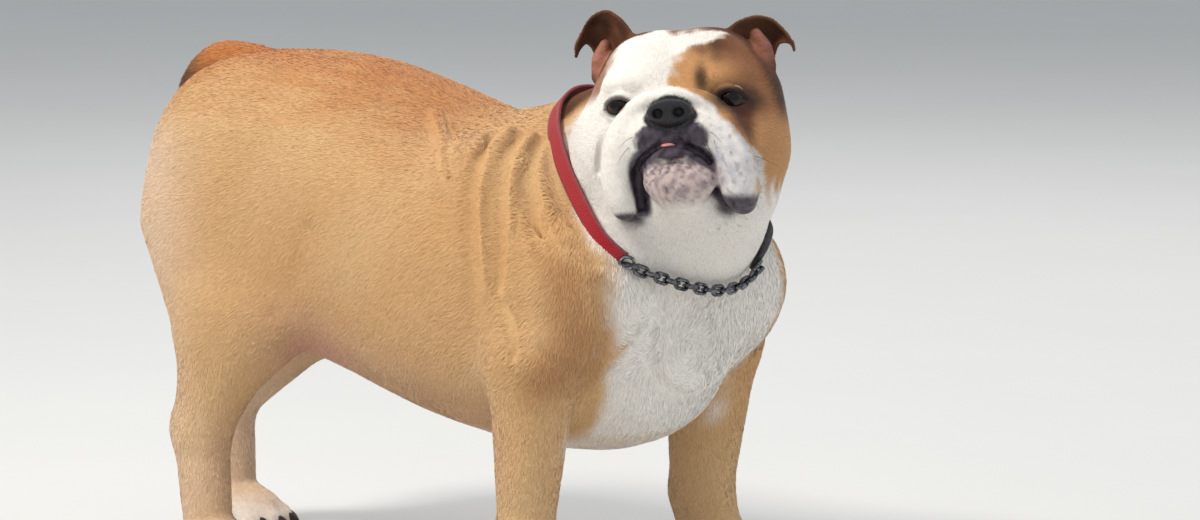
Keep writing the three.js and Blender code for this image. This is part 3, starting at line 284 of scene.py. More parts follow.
# Forms of the head in its own axes, in order: kind, 1 for a mirrored pair, blend, 1 for a cut, place, radii
HEAD_FORMS = [
    ["ball", 0, 20, 0, [-10, 0, 14], [60, 58, 50]],
    ["ball", 0, 16, 0, [2, 42, -20], [46, 35, 44]],
    ["ball", 0, 16, 0, [2, -49, -20], [46, 36, 44]],
    ["ball", 0, 14, 0, [-4, 57, 14], [28, 15, 28]],
    ["ball", 0, 14, 0, [-4, -52, 14], [28, 13, 26]],
    ["ball", 1, 14, 0, [8, 34, -56], [38, 30, 28]],
    ["ball", 1, 9, 0, [27, 38, 8], [19, 23, 20]],
    ["ball", 1, 16, 0, [-4, 24, 38], [44, 32, 29]],
    ["ball", 1, 12, 0, [33, 30, 28], [19, 22, 12]],
    ["ball", 1, 12, 0, [48, 32, -18], [22, 20, 22]],
    ["ball", 0, 18, 0, [0, 0, -64], [46, 54, 34]],
    ["ball", 0, 14, 0, [40, 0, -12], [34, 42, 32]],
    ["bar", 0, 12, 0, [[20, 0, -54], [56, 2, -48]], [28, 22]],
    ["ball", 0, 8, 0, [66, 3, -46], [15, 27, 16]],
    ["ball", 1, 8, 0, [62, 16, -10], [17, 18, 16]],
    ["tube", 0, 5, 0, [[68, 0, 15], [65, 20, 12], [60, 33, 0], [61, 38, -18], [60, 43, -37], [57, 45, -54],
        [52, 46, -63]], [6.5, 7.5, 10, 14, 16, 15, 10.5]],
    ["tube", 0, 5, 0, [[68, 0, 15], [65, -20, 12], [60, -34, -1], [59, -41, -18], [57, -44, -38],
        [54, -43, -54], [50, -41, -62]], [6.5, 7.5, 9.5, 12, 12.5, 12, 10]],
    ["tube", 0, 3, 1, [[42, -60, -34], [48, -54, -10], [54, -42, 10], [58, -22, 23], [60, 0, 27],
        [58, 22, 23], [54, 42, 10], [48, 56, -8], [42, 66, -34]], [2.5, 3, 3, 3.2, 3.2, 3.2, 3, 3, 2.5]],
    ["ball", 0, 3, 0, [78, 0, 3], [11, 17.5, 10.5]],
    ["ball", 1, 1.5, 1, [88.5, 8, 2.5], [7, 4.2, 3.6]],
    ["tube", 1, 1.5, 1, [[88.5, 10, 1], [85.5, 14, -0.5], [80, 18, -2.5]], [1.8, 1.6, 1.2]],
    ["tube", 0, 1.5, 1, [[89.5, 0, 8], [89.5, 0, 0], [86, 0, -8], [80, 0, -14], [79, 0, -19]],
        [1, 1.3, 1.6, 1.6, 1.6]],
    ["tube", 0, 3, 1, [[46, -29, -62], [54, -30, -48], [63, -26, -31], [73, -13, -23.5], [79, 1, -18.5],
        [73, 13, -24.5], [65, 24, -35], [57, 29, -50], [47, 36, -64]],
        [2.4, 2.8, 2.8, 2.8, 3, 2.8, 2.8, 2.8, 2.4]],
    ["tube", 0, 3, 0, [[60, -24, -38], [72, -13, -29], [79, 0, -25.5], [72, 14, -31], [60, 25, -41]],
        [3.5, 4.2, 4.6, 4.2, 3.5]],
    ["tube", 0, 8, 1, [[58, 0, 31], [53, 0, 44], [42, 0, 58], [22, 0, 71]], [3, 5, 5.5, 5]],
    ["tube", 1, 3, 1, [[54, 16, 26], [53, 19, 36], [46, 21, 46]], [1.5, 2, 1.2]],
    ["tube", 1, 3, 0, [[50, 28, 9], [52.5, 33, 16.5], [52, 40, 19], [47.5, 48, 16], [41, 53, 10]],
        [2.4, 3, 3.2, 3, 2.4]],
    ["tube", 1, 3, 0, [[50, 28, 9], [52, 34, 4.5], [51, 41, 3], [47, 48, 5], [41, 53, 10]],
        [2.2, 2.5, 2.6, 2.5, 2.2]],
    ["tube", 1, 4, 0, [[-4, 56, 60], [-6, 61, 50], [-10, 63, 38]], [5, 6.5, 6]]]

# Folds of the skin of the body: blend, 1 for a furrow, points of the line and its radii
FOLDS = [
    [7, 0, [[121, -75, 353], [124, -114, 316], [134, -129, 277], [139, -134, 252]], [2, 3.5, 3.5, 2]],
    [7, 0, [[142, -76, 349], [145, -100, 330], [150, -114, 310], [157, -125, 290]], [2, 4, 4, 2]],
    [7, 0, [[151, -75, 347], [169, -103, 317], [199, -123, 288], [224, -127, 257]], [2, 4, 4, 2]],
    [7, 0, [[34, -42, 362], [62, -75, 344], [89, -108, 322]], [1, 2.5, 1]],
    [7, 0, [[142, 76, 349], [145, 102, 328], [152, 118, 300], [160, 126, 275]], [2, 3.5, 3.5, 2]],
    [9, 1, [[108, -70, 354], [112, -104, 332], [114, -116, 314], [118, -123, 299], [124, -132, 275],
        [129, -137, 248],
        [132, -140, 222]], [1.5, 3, 3.5, 3.5, 3.5, 3, 1]],
    [8, 1, [[131, -72, 352], [134, -101, 336], [139, -115, 315], [145, -124, 295], [150, -131, 270],
        [152, -136, 245]],
        [1, 2.6, 3, 3, 2.6, 1]],
    [8, 1, [[150, -74, 349], [156, -98, 332], [164, -111, 313], [174, -120, 294], [188, -127, 274]],
        [1, 2.6, 3, 2.6, 1]],
    [8, 1, [[166, -70, 351], [179, -93, 331], [197, -107, 310], [214, -118, 290], [229, -123, 268]],
        [1, 2.4, 2.8, 2.4, 1]],
    [8, 1, [[160, -142, 232], [172, -148, 216], [176, -152, 198]], [1, 2, 1]],
    [12, 1, [[232, -120, 248], [236, -110, 223], [226, -106, 198], [212, -110, 176]], [2, 4, 4, 2]],
    [12, 1, [[-44, -110, 270], [-56, -108, 238], [-74, -108, 204]], [2, 3, 2]],
    [12, 1, [[-44, 110, 270], [-56, 108, 238], [-74, 108, 204]], [2, 3, 2]]]


def shape_head():
    """Skull, cheeks, muzzle, nose fold, flews, chin, nose, mouth line, lids and the rims of the ears."""
    for kind, pair, blend, cut, where, radii in HEAD_FORMS:
        for s in (1, -1) if pair else (1,):
            q = mirrored(where, s)
            if kind == "ball":
                head_ball(blend, q, radii, cut=bool(cut))
            elif kind == "tube":
                head_tube(blend, q, radii, cut=bool(cut))
            else:
                limb(blend, head_point(q[0]), head_point(q[1]), *radii)
    for blend, cut, points, radii in FOLDS:
        tube(blend, points, radii, cut=bool(cut))


# Ears: rows of the leaf from root to tip, each front edge, middle and back edge, in the head's axes
EAR = {
    "left": [
        [(2, 30, 54), (-12, 45, 42), (-12, 60, 24)], [(3, 34, 61), (-18, 50, 52), (-16, 63, 34)],
        [(0, 43, 69), (-22, 58, 61), (-20, 66, 45)], [(-5, 55, 73), (-23, 66, 65), (-20, 70, 53)],
        [(-9, 66, 71), (-20, 72, 64), (-19, 75, 54)], [(-10, 75, 63), (-16, 78, 58), (-17, 80, 52)],
        [(-11, 81, 54), (-13.5, 82, 51), (-15, 82, 47)]],
    "right": [
        [(2, 30, 56), (-12, 45, 44), (-12, 60, 28)], [(3, 34, 65), (-18, 50, 56), (-16, 62, 40)],
        [(0, 42, 77), (-22, 56, 69), (-20, 65, 53)], [(-5, 53, 85), (-23, 64, 76), (-20, 69, 62)],
        [(-9, 65, 82), (-20, 71, 74), (-19, 73, 64)], [(-10, 73, 72), (-15.5, 76, 67), (-17, 77, 60)],
        [(-11, 79, 62), (-13, 79.6, 58), (-15, 80, 54)]]}
EAR_THICK = (4.2, 2.8)


def ear_sheet(side, rows, columns):
    """Middle surface of the ear: splines from root to tip through the front, middle and back points,
    joined across by the parabola through the three."""
    control = np.array(EAR[side], float)
    front, middle, back = (curve(control[:, k], rows)[:, None] for k in range(3))
    v = np.linspace(0, 1, columns)[None, :, None]
    sheet = (1 - v) * (1 - 2 * v) * front + 4 * v * (1 - v) * middle + v * (2 * v - 1) * back
    return head_point(mirrored(sheet, SIDES[side]))


def shape_ear(side):
    """The leaf as the union of small balls set close all over its middle surface."""
    rows, columns = 44, 30
    sheet = ear_sheet(side, rows, columns)
    sizes = np.repeat(spread(EAR_THICK, rows) / 2, columns)
    points = sheet.reshape(-1, 3)

    def distance(x, y, z):
        x, y, z = np.broadcast_arrays(x, y, z)
        where = np.stack([x.ravel(), y.ravel(), z.ravel()], 1).astype(np.float32)
        least = np.full(len(where), FAR, np.float32)
        for first in range(0, len(points), 60):
            group = points[first:first + 60].astype(np.float32)
            radius = sizes[first:first + 60].astype(np.float32)
            near = np.abs(where - group.mean(0)).max(1) < np.ptp(group, axis=0).max() / 2 + 14
            if near.any():
                q = where[near]
                gap = np.sqrt(((q[:, None] - group[None])**2).sum(2)) - radius
                least[near] = np.minimum(least[near], gap.min(1))
        return least.reshape(x.shape)
    add_form(distance, points, sizes.max(), 3.5, False)


# Surface of the flesh: spans of the grid along each axis, from, to and step
GRID_X = [(-300, 95, 4.0), (95, 342, 1.6)]
GRID_Y = [(-176, -148, 3.6), (-148, 62, 1.6), (62, 176, 3.6)]
GRID_Z = [(-8, 50, 2.2), (50, 262, 4.0), (262, 450, 1.6)]
LONGEST_STEP = 1.6              # how far a point may move at once as it settles on the surface


def grid_line(spans):
    """Marks from span to span, evenly inside each at about its step."""
    parts = [np.linspace(a, b, round((b - a) / step), endpoint=False) for a, b, step in spans]
    return np.concatenate(parts + [[spans[-1][1]]])


def table_at(column, x):
    """Cubic through the rows of the trunk table, with the slope of the neighbours at each row."""
    at, value = TRUNK[:, 0], TRUNK[:, column]
    slope = np.gradient(value, at)
    slope[1:-1] = (value[2:] - value[:-2]) / (at[2:] - at[:-2])
    i = np.clip(np.searchsorted(at, x) - 1, 0, len(at) - 2)
    h = at[i + 1] - at[i]
    u = np.clip((x - at[i]) / h, 0, 1)
    return (value[i] * (1 + 2 * u) * (1 - u)**2 + value[i + 1] * u * u * (3 - 2 * u)
            + h * slope[i] * u * (1 - u)**2 - h * slope[i + 1] * u * u * (1 - u))


def trunk_distance(x, y, z):
    """Rounded tube along X whose section is a superellipse of the table's top, bottom and width."""
    top, bottom, width = (table_at(k, x) for k in (1, 2, 3))
    middle, half = (top + bottom) / 2, (top - bottom) / 2
    rho = (np.abs(y / width)**TRUNK_POWER + np.abs((z - middle) / half)**TRUNK_POWER)**(1 / TRUNK_POWER)
    return np.maximum((rho - 1) * np.minimum(width, half), np.maximum(TRUNK[0, 0] - x, x - TRUNK[-1, 0]))


def field(x, y, z):
    """Distance to the flesh at single points: each form is blended in over the box that it fills."""
    total = trunk_distance(x, y, z)
    for distance, low, high, blend, cut in forms:
        m = blend + MARGIN
        near = ((x > low[0] - m) & (x < high[0] + m) & (y > low[1] - m) & (y < high[1] + m)
                & (z > low[2] - m) & (z < high[2] + m))
        if near.any():
            e = distance(x[near], y[near], z[near])
            total[near] = -soft_min(-total[near], e, blend) if cut else soft_min(total[near], e, blend)
    return total


def field_on(lines):
    """The same on a grid of lines, form by form over blocks of it."""
    x, y, z = lines
    total = trunk_distance(x[:, None, None], y[None, :, None], z[None, None, :]).astype(np.float32)
    for distance, low, high, blend, cut in forms:
        m = blend + MARGIN
        a = [np.searchsorted(line, low[k] - m) for k, line in enumerate(lines)]
        b = [np.searchsorted(line, high[k] + m) for k, line in enumerate(lines)]
        block = tuple(slice(i, j) for i, j in zip(a, b))
        gx, gy, gz = (line[s].astype(np.float32) for line, s in zip(lines, block))
        if min(len(gx), len(gy), len(gz)) == 0:
            continue
        e = distance(gx[:, None, None], gy[None, :, None], gz[None, None, :])
        old = total[block]
        total[block] = -soft_min(-old, e, blend) if cut else soft_min(old, e, blend)
    return total


def surface_nets(values, lines):
    """Surface of a grid of distances: one vertex in each cell that the surface crosses, at the mean of
    its crossings, and one quad round each crossed edge."""
    inside = values < 0
    cells = tuple(n - 1 for n in values.shape)
    corners = [(i, j, k) for i in (0, 1) for j in (0, 1) for k in (0, 1)]
    count = sum(inside[i:i + cells[0], j:j + cells[1], k:k + cells[2]].astype(np.int8)
                for i, j, k in corners)
    active = (count > 0) & (count < 8)
    index = np.full(active.shape, -1)
    at = np.argwhere(active)
    index[active] = np.arange(len(at))
    total, crossed = np.zeros((len(at), 3)), np.zeros(len(at))
    for a in corners:
        for b in corners:
            if sum(b) != sum(a) + 1 or any(q < p for p, q in zip(a, b)):
                continue
            first, second = at + a, at + b
            va, vb = values[tuple(first.T)], values[tuple(second.T)]
            cross = (va < 0) != (vb < 0)
            t = np.where(cross, va / np.where(cross, va - vb, 1), 0)[:, None]
            total += np.where(cross[:, None], first + (second - first) * t, 0)
            crossed += cross
    grid = total / crossed[:, None]
    points = np.stack([np.interp(grid[:, k], np.arange(len(line)), line) for k, line in enumerate(lines)], 1)
    quads = []
    for d in range(3):
        u, w = [k for k in range(3) if k != d]
        near, far = [slice(None)] * 3, [slice(None)] * 3
        near[d], far[d] = slice(0, -1), slice(1, None)
        edge = np.argwhere(inside[tuple(near)] != inside[tuple(far)])
        edge = edge[(edge[:, u] > 0) & (edge[:, w] > 0)]
        edge = edge[(edge[:, u] < values.shape[u] - 1) & (edge[:, w] < values.shape[w] - 1)]
        du, dw = np.zeros(3, int), np.zeros(3, int)
        du[u], dw[w] = 1, 1
        ring = np.stack([index[tuple((edge - o).T)] for o in (0 * du, du, du + dw, dw)], 1)
        turn = inside[tuple(edge.T)] != (d == 1)
        ring[~turn] = ring[~turn, ::-1]
        quads.append(ring)
    return points, np.concatenate(quads)


def slope_of(points, step=0.3):
    """Field and its slope at points, by differences."""
    x, y, z = points.T.copy()
    here = field(x, y, z)
    slope = np.stack([field(x + step, y, z), field(x, y + step, z), field(x, y, z + step)], 1) - here[:, None]
    return here, slope / step


def flesh_surface():
    """Points and quads of the flesh, settled on the surface, standing flat on the floor."""
    lines = [grid_line(spans) for spans in (GRID_X, GRID_Y, GRID_Z)]
    points, quads = surface_nets(field_on(lines), lines)
    for _ in range(2):
        here, slope = slope_of(points)
        step = slope * (here / np.maximum((slope**2).sum(1), 0.25))[:, None]
        size = np.linalg.norm(step, axis=1, keepdims=True)
        points = points - step * np.minimum(1, LONGEST_STEP / (size + 1e-9))
    return points, quads


def normals_of(points, quads):
    """Vertex normals: the sum of the crossed diagonals of the quads round each vertex."""
    n = np.cross(points[quads[:, 2]] - points[quads[:, 0]], points[quads[:, 3]] - points[quads[:, 1]])
    total = np.stack([np.bincount(quads.ravel(), np.repeat(n[:, k], 4), len(points)) for k in range(3)], 1)
    return unit(total)


# Markings, with some painted shade: every colour is sRGB as seen in sunlight, mixed by where a point lies on
# the dog
def tone(r, g, b):
    """Linear colour of an sRGB one."""
    c = np.array([r, g, b], float) / 255
    return np.where(c <= 0.04045, c / 12.92, ((c + 0.055) / 1.055)**2.4)


FAWN, RED, PALE, SAND = tone(206, 160, 108), tone(186, 116, 62), tone(226, 198, 170), tone(214, 178, 132)
BELLY, PINK, WHITE = tone(206, 166, 132), tone(196, 138, 124), tone(238, 232, 224)
BROWN, UMBER, SABLE = tone(150, 98, 62), tone(84, 50, 34), tone(46, 32, 28)
SLATE, NOSE = tone(88, 76, 90), tone(30, 29, 32)


def mix(colour, other, share):
    """Rows of a colour moved towards another by a share for each row."""
    return colour + (other - colour) * np.clip(share, 0, 1)[:, None]


def spot(q, centre, radii, soft=0.35):
    """1 inside an ellipsoid and 0 outside, fading over the share soft of its radius on either side."""
    rho = np.sqrt((((q - np.asarray(centre, float)) / np.asarray(radii, float))**2).sum(1))
    return 1 - ramp(rho, 1 - soft, 1 + soft)


def near_path(q, points, width, soft):
    """1 within a width of a spline and 0 beyond width + soft."""
    path = curve(points, 6 * len(points))
    least = np.full(len(q), FAR)
    for a, b in zip(path[:-1], path[1:]):
        t = np.clip(((q - a) @ (b - a)) / ((b - a) @ (b - a)), 0, 1)
        least = np.minimum(least, np.linalg.norm(q - a - t[:, None] * (b - a), axis=1))
    return 1 - ramp(least, width, width + soft)


MOUTH = [(46, -29, -62), (54, -30, -48), (63, -26, -31), (73, -13, -23.5), (79, 1, -18.5), (73, 13, -24.5),
         (65, 24, -35), (57, 29, -50), (47, 36, -64)]
NECK_PLANE = np.array([0.71, 0, 0.704])
NECK_CENTRE = np.array([198.0, -12, 309])


def head_share(points):
    """1 ahead of the collar plane, 0 behind it."""
    return ramp((points - NECK_CENTRE) @ unit(NECK_PLANE), -6, 6)


def ear_share(q):
    """1 on the free part of either ear, 0 on the skull."""
    side = np.abs(q[:, 1])
    return ramp(0.62 * (side - 36) + 0.78 * (q[:, 2] - 52), -2, 5) * ramp(q[:, 0], 20, 10)


def body_colour(p):
    """Fawn, redder along the back, paler on buttocks, lower legs and belly, white on chest and throat, with
    painted shade beside the bib on the right shoulder.
    """
    x, y, z = p.T
    wave = ripple(p, 90, 3)
    fine = ripple(p * [0.35, 1, 1], 22, 5)
    c = np.tile(FAWN, (len(p), 1))
    c = mix(c, SAND, 0.45 + 0.35 * wave)
    height = (z - table_at(2, x)) / np.maximum(table_at(1, x) - table_at(2, x), 1)
    back = ramp(height + 0.05 * fine + 0.04 * wave, 0.74, 1.02) * ramp(x, 150, 20)
    saddle = 0.45 * spot(p, (-20, 0, 385), (95, 90, 60), 0.8)
    croup = 0.6 * spot(p, (-185, 0, 385), (70, 60, 50), 0.7)
    c = mix(c, RED, back * (0.35 + saddle + croup))
    c = mix(c, PALE, 0.8 * ramp(x + 10 * wave, -120, -215) * ramp(z, 370, 320))
    c = mix(c, BELLY, 0.7 * ramp(height + 0.05 * wave, 0.34, 0.05) * ramp(x, -120, -60) * ramp(x, 190, 120))
    groin = spot(p * [1, 0, 1], (-62, 0, 190), (56, 1, 36), 0.6) * ramp(np.abs(y), 100, 70)
    c = mix(c, PINK, 0.6 * groin)
    c = mix(c, PALE, 0.45 * ramp(z, 150, 60) * ramp(x, 0, -100))
    c = mix(c, SAND, 0.6 * ramp(z, 180, 60) * ramp(x, 60, 120))
    c = mix(c, WHITE, 0.75 * ramp(z + 3 * fine, 40, 14))
    edge = np.interp(z, [110, 139, 176, 215, 257, 300, 340], [165, 196, 212, 226, 222, 196, 176])
    bib = ramp(x - edge + 4 * fine + 3 * wave, -4, 9) * ramp(np.abs(y + 6) + 3 * fine, 118, 98)
    under = ramp(z, 150, 122) * ramp(x, 60, 130) * ramp(np.abs(y), 82, 60)
    # painted shade: a darker fawn band just behind the white bib's edge on the right shoulder, below the
    # collar
    bib_edge_shade = 0.6 * ramp(np.abs(x - edge + 14), 26, 4) * ramp(y, -84, -100) * ramp(z, 285, 255)
    c = mix(c, tone(166, 112, 68), bib_edge_shade * ramp(z, 150, 185))
    c = mix(c, WHITE, np.maximum(bib * ramp(z, 112, 134), 0.8 * under))
    tip = near_path(p, TAIL, 11, 5) * ramp(x, -196, -226)
    c = mix(c, SABLE, tip * (0.78 + 0.08 * ripple(p, 40, 11)))
    return c


def face_colour(q):
    """Markings of the head, in its own axes: white blaze and muzzle, fawn over the left brow and cheek;
    painted shade on the left temple and the left flew.
    """
    f, l, u = q.T
    a = l - 0.155 * f
    wave, fine = ripple(q, 46, 21), ripple(q, 9, 23)
    c = np.tile(WHITE, (len(q), 1))
    brow_edge = np.interp(u, [-40, 0, 15, 22, 35, 45, 51, 56, 62], [18, 0, -12, -15, -10, -4, 7, 27, 34])
    brow = ramp(a - brow_edge + 4.0 * fine, -4, 8)
    c = mix(c, tone(196, 146, 98), brow * ramp(u + 6 * fine + 5 * wave, -70, -46))
    c = mix(c, UMBER, 0.95 * brow * spot(q + 3 * fine[:, None], (26, 39, 57), (40, 25, 18), 0.6))
    c = mix(c, BROWN, 0.9 * brow * spot(q, (20, 56, 38), (40, 20, 26), 0.6))
    c = mix(c, BROWN, 0.75 * brow * ramp(l, 44, 62) * ramp(u, -14, 8))
    # painted shadow of the left ear's base: near-black on the side of the head behind the left eye
    c = mix(c, SABLE, 0.85 * ramp(l, 52, 64) * ramp(u, -12, 12) * ramp(f, 28, 10))
    c = mix(c, SABLE, 0.85 * brow * spot(q, (48, 20.5, 27), (26, 4.5, 10), 0.7))
    skull = ramp(u + 2 * fine, 60, 67) * ramp(f, 34, 22)
    c = mix(c, tone(138, 88, 58), skull)
    c = mix(c, WHITE, spot(q, (14, -16, 72), (30, 9, 16), 0.4))
    side = ramp(-l + 2 * fine + 0.2 * u, 50, 62) * ramp(u, 12, 26)
    c = mix(c, BROWN, 0.9 * side)
    nape = ramp(f + 0.4 * u + 3 * wave, 6, -18) * ramp(u, -14, 8)
    c = mix(c, FAWN, nape)
    c = mix(c, UMBER, 0.8 * ramp(np.abs(l), 46, 58) * ramp(u, 14, 30) * ramp(f, 0, -14) * ramp(f, -34, -20))
    mask = spot(q, (44, 40, 10), (30, 23, 12), 0.4)
    c = mix(c, SABLE, 0.96 * mask)
    c = mix(c, tone(92, 48, 38), 0.9 * spot(q, (46, 46, -8), (24, 10, 22), 0.45))
    ring = spot(q, (44, -41, 11), (24, 16, 12.5), 0.2)
    c = mix(c, tone(186, 122, 112), 0.8 * ring)
    c = mix(c, tone(205, 150, 130), 0.6 * spot(q, (44, -56, -8), (22, 7, 20), 0.6))
    rim = spot(np.stack([f, np.abs(l), u], 1), (46, 40.5, 11.5), (24, 11.5, 8.5), 0.15)
    edge = np.interp(u, [-70, -45, -30, -10, 5, 14, 22, 26], [54, 60, 58, 43, 31, 22, 6, -24])
    muzzle = ramp(edge - l + 1.5 * fine, -2.5, 2.5) * ramp(f, 26, 34)
    c = mix(c, WHITE, muzzle)
    c = mix(c, SABLE, 0.85 * rim)
    # painted shade: bluish grey over the dog's left flew, made uneven by fine noise
    left_flew_shade = 0.75 * muzzle * spot(q, (56, 42, -34), (26, 20, 32), 0.5)
    c = mix(c, tone(188, 186, 196), left_flew_shade * (0.75 + 0.5 * fine))
    c = mix(c, tone(120, 112, 122), 0.5 * muzzle * ramp(ripple(q, 5, 31), 0.55, 0.95) * ramp(l, 14, 26))
    return c


def face_bare(q):
    """Shares of bare nose leather, dark lip, and mottled chin, in the head's axes."""
    f, l, u = q.T
    fine = ripple(q, 5, 41)
    nose = spot(q, (79, 0, 3), (15, 21.5, 13.5), 0.05) * ramp(f, 66, 70)
    lips = near_path(q, MOUTH, 6.5, 4) * ramp(f, 34, 44)
    under = (1 - ramp(np.hypot(l / 27, (u + 16) / 15) + 0.05 * fine, 0.95, 1.08)) * ramp(f, 58, 64)
    tips = np.maximum(spot(q, (54, 43, -67), (20, 19, 13), 0.2), spot(q, (50, -40, -72), (16, 13, 7), 0.3))
    lips = np.maximum(np.maximum(lips, under), tips * ramp(f, 38, 44))
    chin = spot(q, (66, 2, -46), (24, 31, 17), 0.3)
    return nose, lips, chin


def markings(points):
    """Colour, share of bare skin and wetness of points of the flesh, in the dog's axes."""
    q = in_head(points)
    head = head_share(points)
    c = body_colour(points)
    c = c + (face_colour(q) - c) * head[:, None]
    nose, lips, chin = (share * head for share in face_bare(q))
    blotch = ripple(q, 6.5, 43)
    c = mix(c, tone(196, 170, 166), chin * 0.85)
    c = mix(c, tone(142, 128, 132), 0.8 * chin * ramp(blotch, -0.6, 0.9))
    c = mix(c, tone(66, 54, 60), 0.75 * chin * ramp(ripple(q, 4, 45) + ramp(q[:, 2], -44, -32), 0.4, 1.1))
    c = mix(c, mix(np.tile(SLATE, (len(q), 1)), tone(42, 34, 42), 0.5 + 0.6 * blotch), lips)
    c = mix(c, NOSE, nose)
    ear = ear_share(q) * head
    inner = ear * inner_ear(q)
    c = mix(c, mix(np.tile(tone(112, 70, 46), (len(q), 1)), UMBER, 0.5 + 0.5 * ripple(q, 16, 47)), ear)
    pink = mix(np.tile(tone(172, 114, 102), (len(q), 1)), BROWN, 0.4 + 0.6 * ripple(q, 7, 49))
    c = mix(c, pink, inner * np.where(q[:, 1] > 0, 0.6, 0.95))
    bare = np.clip(np.maximum.reduce([nose, lips, 0.55 * chin, 0.9 * inner]), 0, 1)
    wet = np.clip(0.75 * nose + 0.9 * lips + 0.25 * chin, 0, 1)
    return c, bare, wet


def inner_ear(q):
    """1 on the hollow face of an ear near its root, where the leaf turns to the front."""
    f, l, u = q.T
    return spot(np.stack([f, np.abs(l), u], 1), (-4, 61, 51), (13, 9, 16), 0.3)


# Lie of the coat
def lie_of(points, normals):
    """Unit direction of the hairs, in the surface: back and down on the body, down the legs, away from
    the nose on the head, out to the tips on the ears."""
    x, y, z = points.T
    q = in_head(points)
    zero = np.zeros(len(points))
    down = 0.35 + 0.5 * ramp(z, 330, 220)
    body = np.stack([zero - 1, 0.12 * ripple(points, 120, 61), -down + 0.2 * ripple(points, 90, 63)], 1)
    legs = np.stack([zero - 0.15, 0.1 * ripple(points, 40, 65), zero - 1], 1)
    share = np.maximum(ramp(z, 190, 150) * ramp(np.abs(y), 45, 62),
                       ramp(x, 175, 205) * ramp(z, 330, 290))[:, None]
    way = body + (legs - body) * share
    paw = np.stack([zero + 1, zero, zero - 0.6], 1)
    way = way + (paw - way) * ramp(z, 58, 40)[:, None]
    for centre, turn in WHORLS:
        d = points - np.array(centre, float)
        swirl = np.cross(d, unit([1, -0.4, 0])) * turn - d * 0.6
        near = np.exp(-(d**2).sum(1) / 30**2)[:, None]
        way = way * (1 - near) + unit(swirl) * near * 1.6
    face = unit(unit(q - [96, 0, 2]) * [1, 1, 1] + [-0.1, 0, 0])
    ear = unit(q - np.stack([zero, np.sign(q[:, 1]) * 36, zero + 44], 1))
    e = (ear_share(q))[:, None]
    way = way + ((face + (ear - face) * e) @ HEAD_AXES - way) * head_share(points)[:, None]
    way = way + 0.16 * np.stack([ripple(points, 26, 67), ripple(points, 26, 68), ripple(points, 26, 69)], 1)
    return unit(way - normals * (way * normals).sum(1, keepdims=True))


WHORLS = [((239, -70, 211), 1), ((245, -25, 192), -1)]


# Materials: shader maths reads as arithmetic on Value, and every other node comes from Finish.add
class Value:
    """A socket of a material. Arithmetic on it, with numbers or other values, adds Math nodes."""

    def __init__(self, finish, socket):
        self.finish, self.socket = finish, socket

    def maths(self, operation, *others):
        """A Math node on this value and others."""
        return self.finish.add("ShaderNodeMath", {"operation": operation}, dict(enumerate((self, *others))))

    def __add__(self, other):
        return self.maths("ADD", other)

    def __mul__(self, other):
        return self.maths("MULTIPLY", other)

    def __sub__(self, other):
        return self.maths("SUBTRACT", other)

    def __rsub__(self, other):
        return self.finish.add("ShaderNodeMath", {"operation": "SUBTRACT"}, {0: other, 1: self})

    __radd__, __rmul__ = __add__, __mul__

    def step(self, low, high):
        """0 below low, 1 above high, smooth between."""
        return self.finish.add("ShaderNodeMapRange", {"interpolation_type": "SMOOTHSTEP"},
                               {"Value": self, "From Min": low, "From Max": high})


class Finish:
    """A material and its tree."""

    def __init__(self, name, **constants):
        self.material = bpy.data.materials.new(name)
        self.material.use_nodes = True
        self.tree = self.material.node_tree
        self.shader = next(n for n in self.tree.nodes if n.type == "BSDF_PRINCIPLED")
        for socket, value in constants.items():
            self.shader.inputs[socket.replace("_", " ")].default_value = value

    def put(self, socket, value):
        """Links a value to a socket, or sets a constant on it."""
        if isinstance(value, Value):
            self.tree.links.new(value.socket, socket)
        else:
            socket.default_value = value

    def add(self, kind, settings=None, sockets=None, out=0):
        """A node of a kind, its settings first, then its sockets; gives back one of its outputs."""
        node = self.tree.nodes.new(kind)
        for name, value in (settings or {}).items():
            setattr(node, name, value)
        for name, value in (sockets or {}).items():
            self.put(node.inputs[name], value)
        return Value(self, node.outputs[out])

    def place(self, source="Object"):
        """Object coordinates, or a piece's own UV map."""
        return self.add("ShaderNodeTexCoord", out=source)

    def noise(self, scale):
        """Soft noise over Object coordinates, with about so many waves a metre."""
        return self.add("ShaderNodeTexNoise", {},
                        {"Vector": self.place(), "Scale": scale, "Detail": 4.0, "Roughness": 0.55})

    def blend(self, share, first, second, way="MIX"):
        """The first colour moved by a share towards the second, or towards their product."""
        return self.add("ShaderNodeMix", {"data_type": "RGBA", "blend_type": way},
                        {0: share, 6: first, 7: second}, out=2)

    def attribute(self, name, out="Color"):
        """Colour or number that each vertex of a piece carries under a name."""
        return self.add("ShaderNodeAttribute", {"attribute_name": name}, out=out)

    def feed(self, **values):
        """Values or constants for the shader's own sockets, _ for a space in their names."""
        for socket, value in values.items():
            self.put(self.shader.inputs[socket.replace("_", " ")], value)

    def bump(self, height, distance, strength=1.0):
        """Relief of a height, a distance deep in metres, into the shader's Normal."""
        sockets = {"Height": height, "Distance": distance, "Strength": strength}
        self.feed(Normal=self.add("ShaderNodeBump", {}, sockets))


def rgba(colour):
    """Colour of a socket, opaque."""
    return (*[float(v) for v in colour], 1.0)


def hide_finish():
    """Skin under the coat: its markings, fine hair grain, and the pebbles and gloss of bare skin."""
    m = Finish("hide", Specular_IOR_Level=0.4)
    bare, wet = m.attribute("bare", "Fac"), m.attribute("wet", "Fac")
    grain = m.noise(900.0)
    speck = m.noise(260.0)
    pebble = m.add("ShaderNodeTexVoronoi", {"feature": "F1"}, {"Vector": m.place(), "Scale": 620.0})
    fleck = m.blend(speck.step(0.3, 0.7), rgba((0.86, 0.85, 0.84)), rgba((1, 1, 1)))
    m.feed(Base_Color=m.blend(1.0, m.attribute("shade"), fleck, "MULTIPLY"),
           Roughness=0.78 - 0.46 * wet + 0.12 * (grain - 0.5))
    m.bump(grain * (1 - bare) + pebble * bare * 0.9, 0.0007, 0.7)
    return m.material


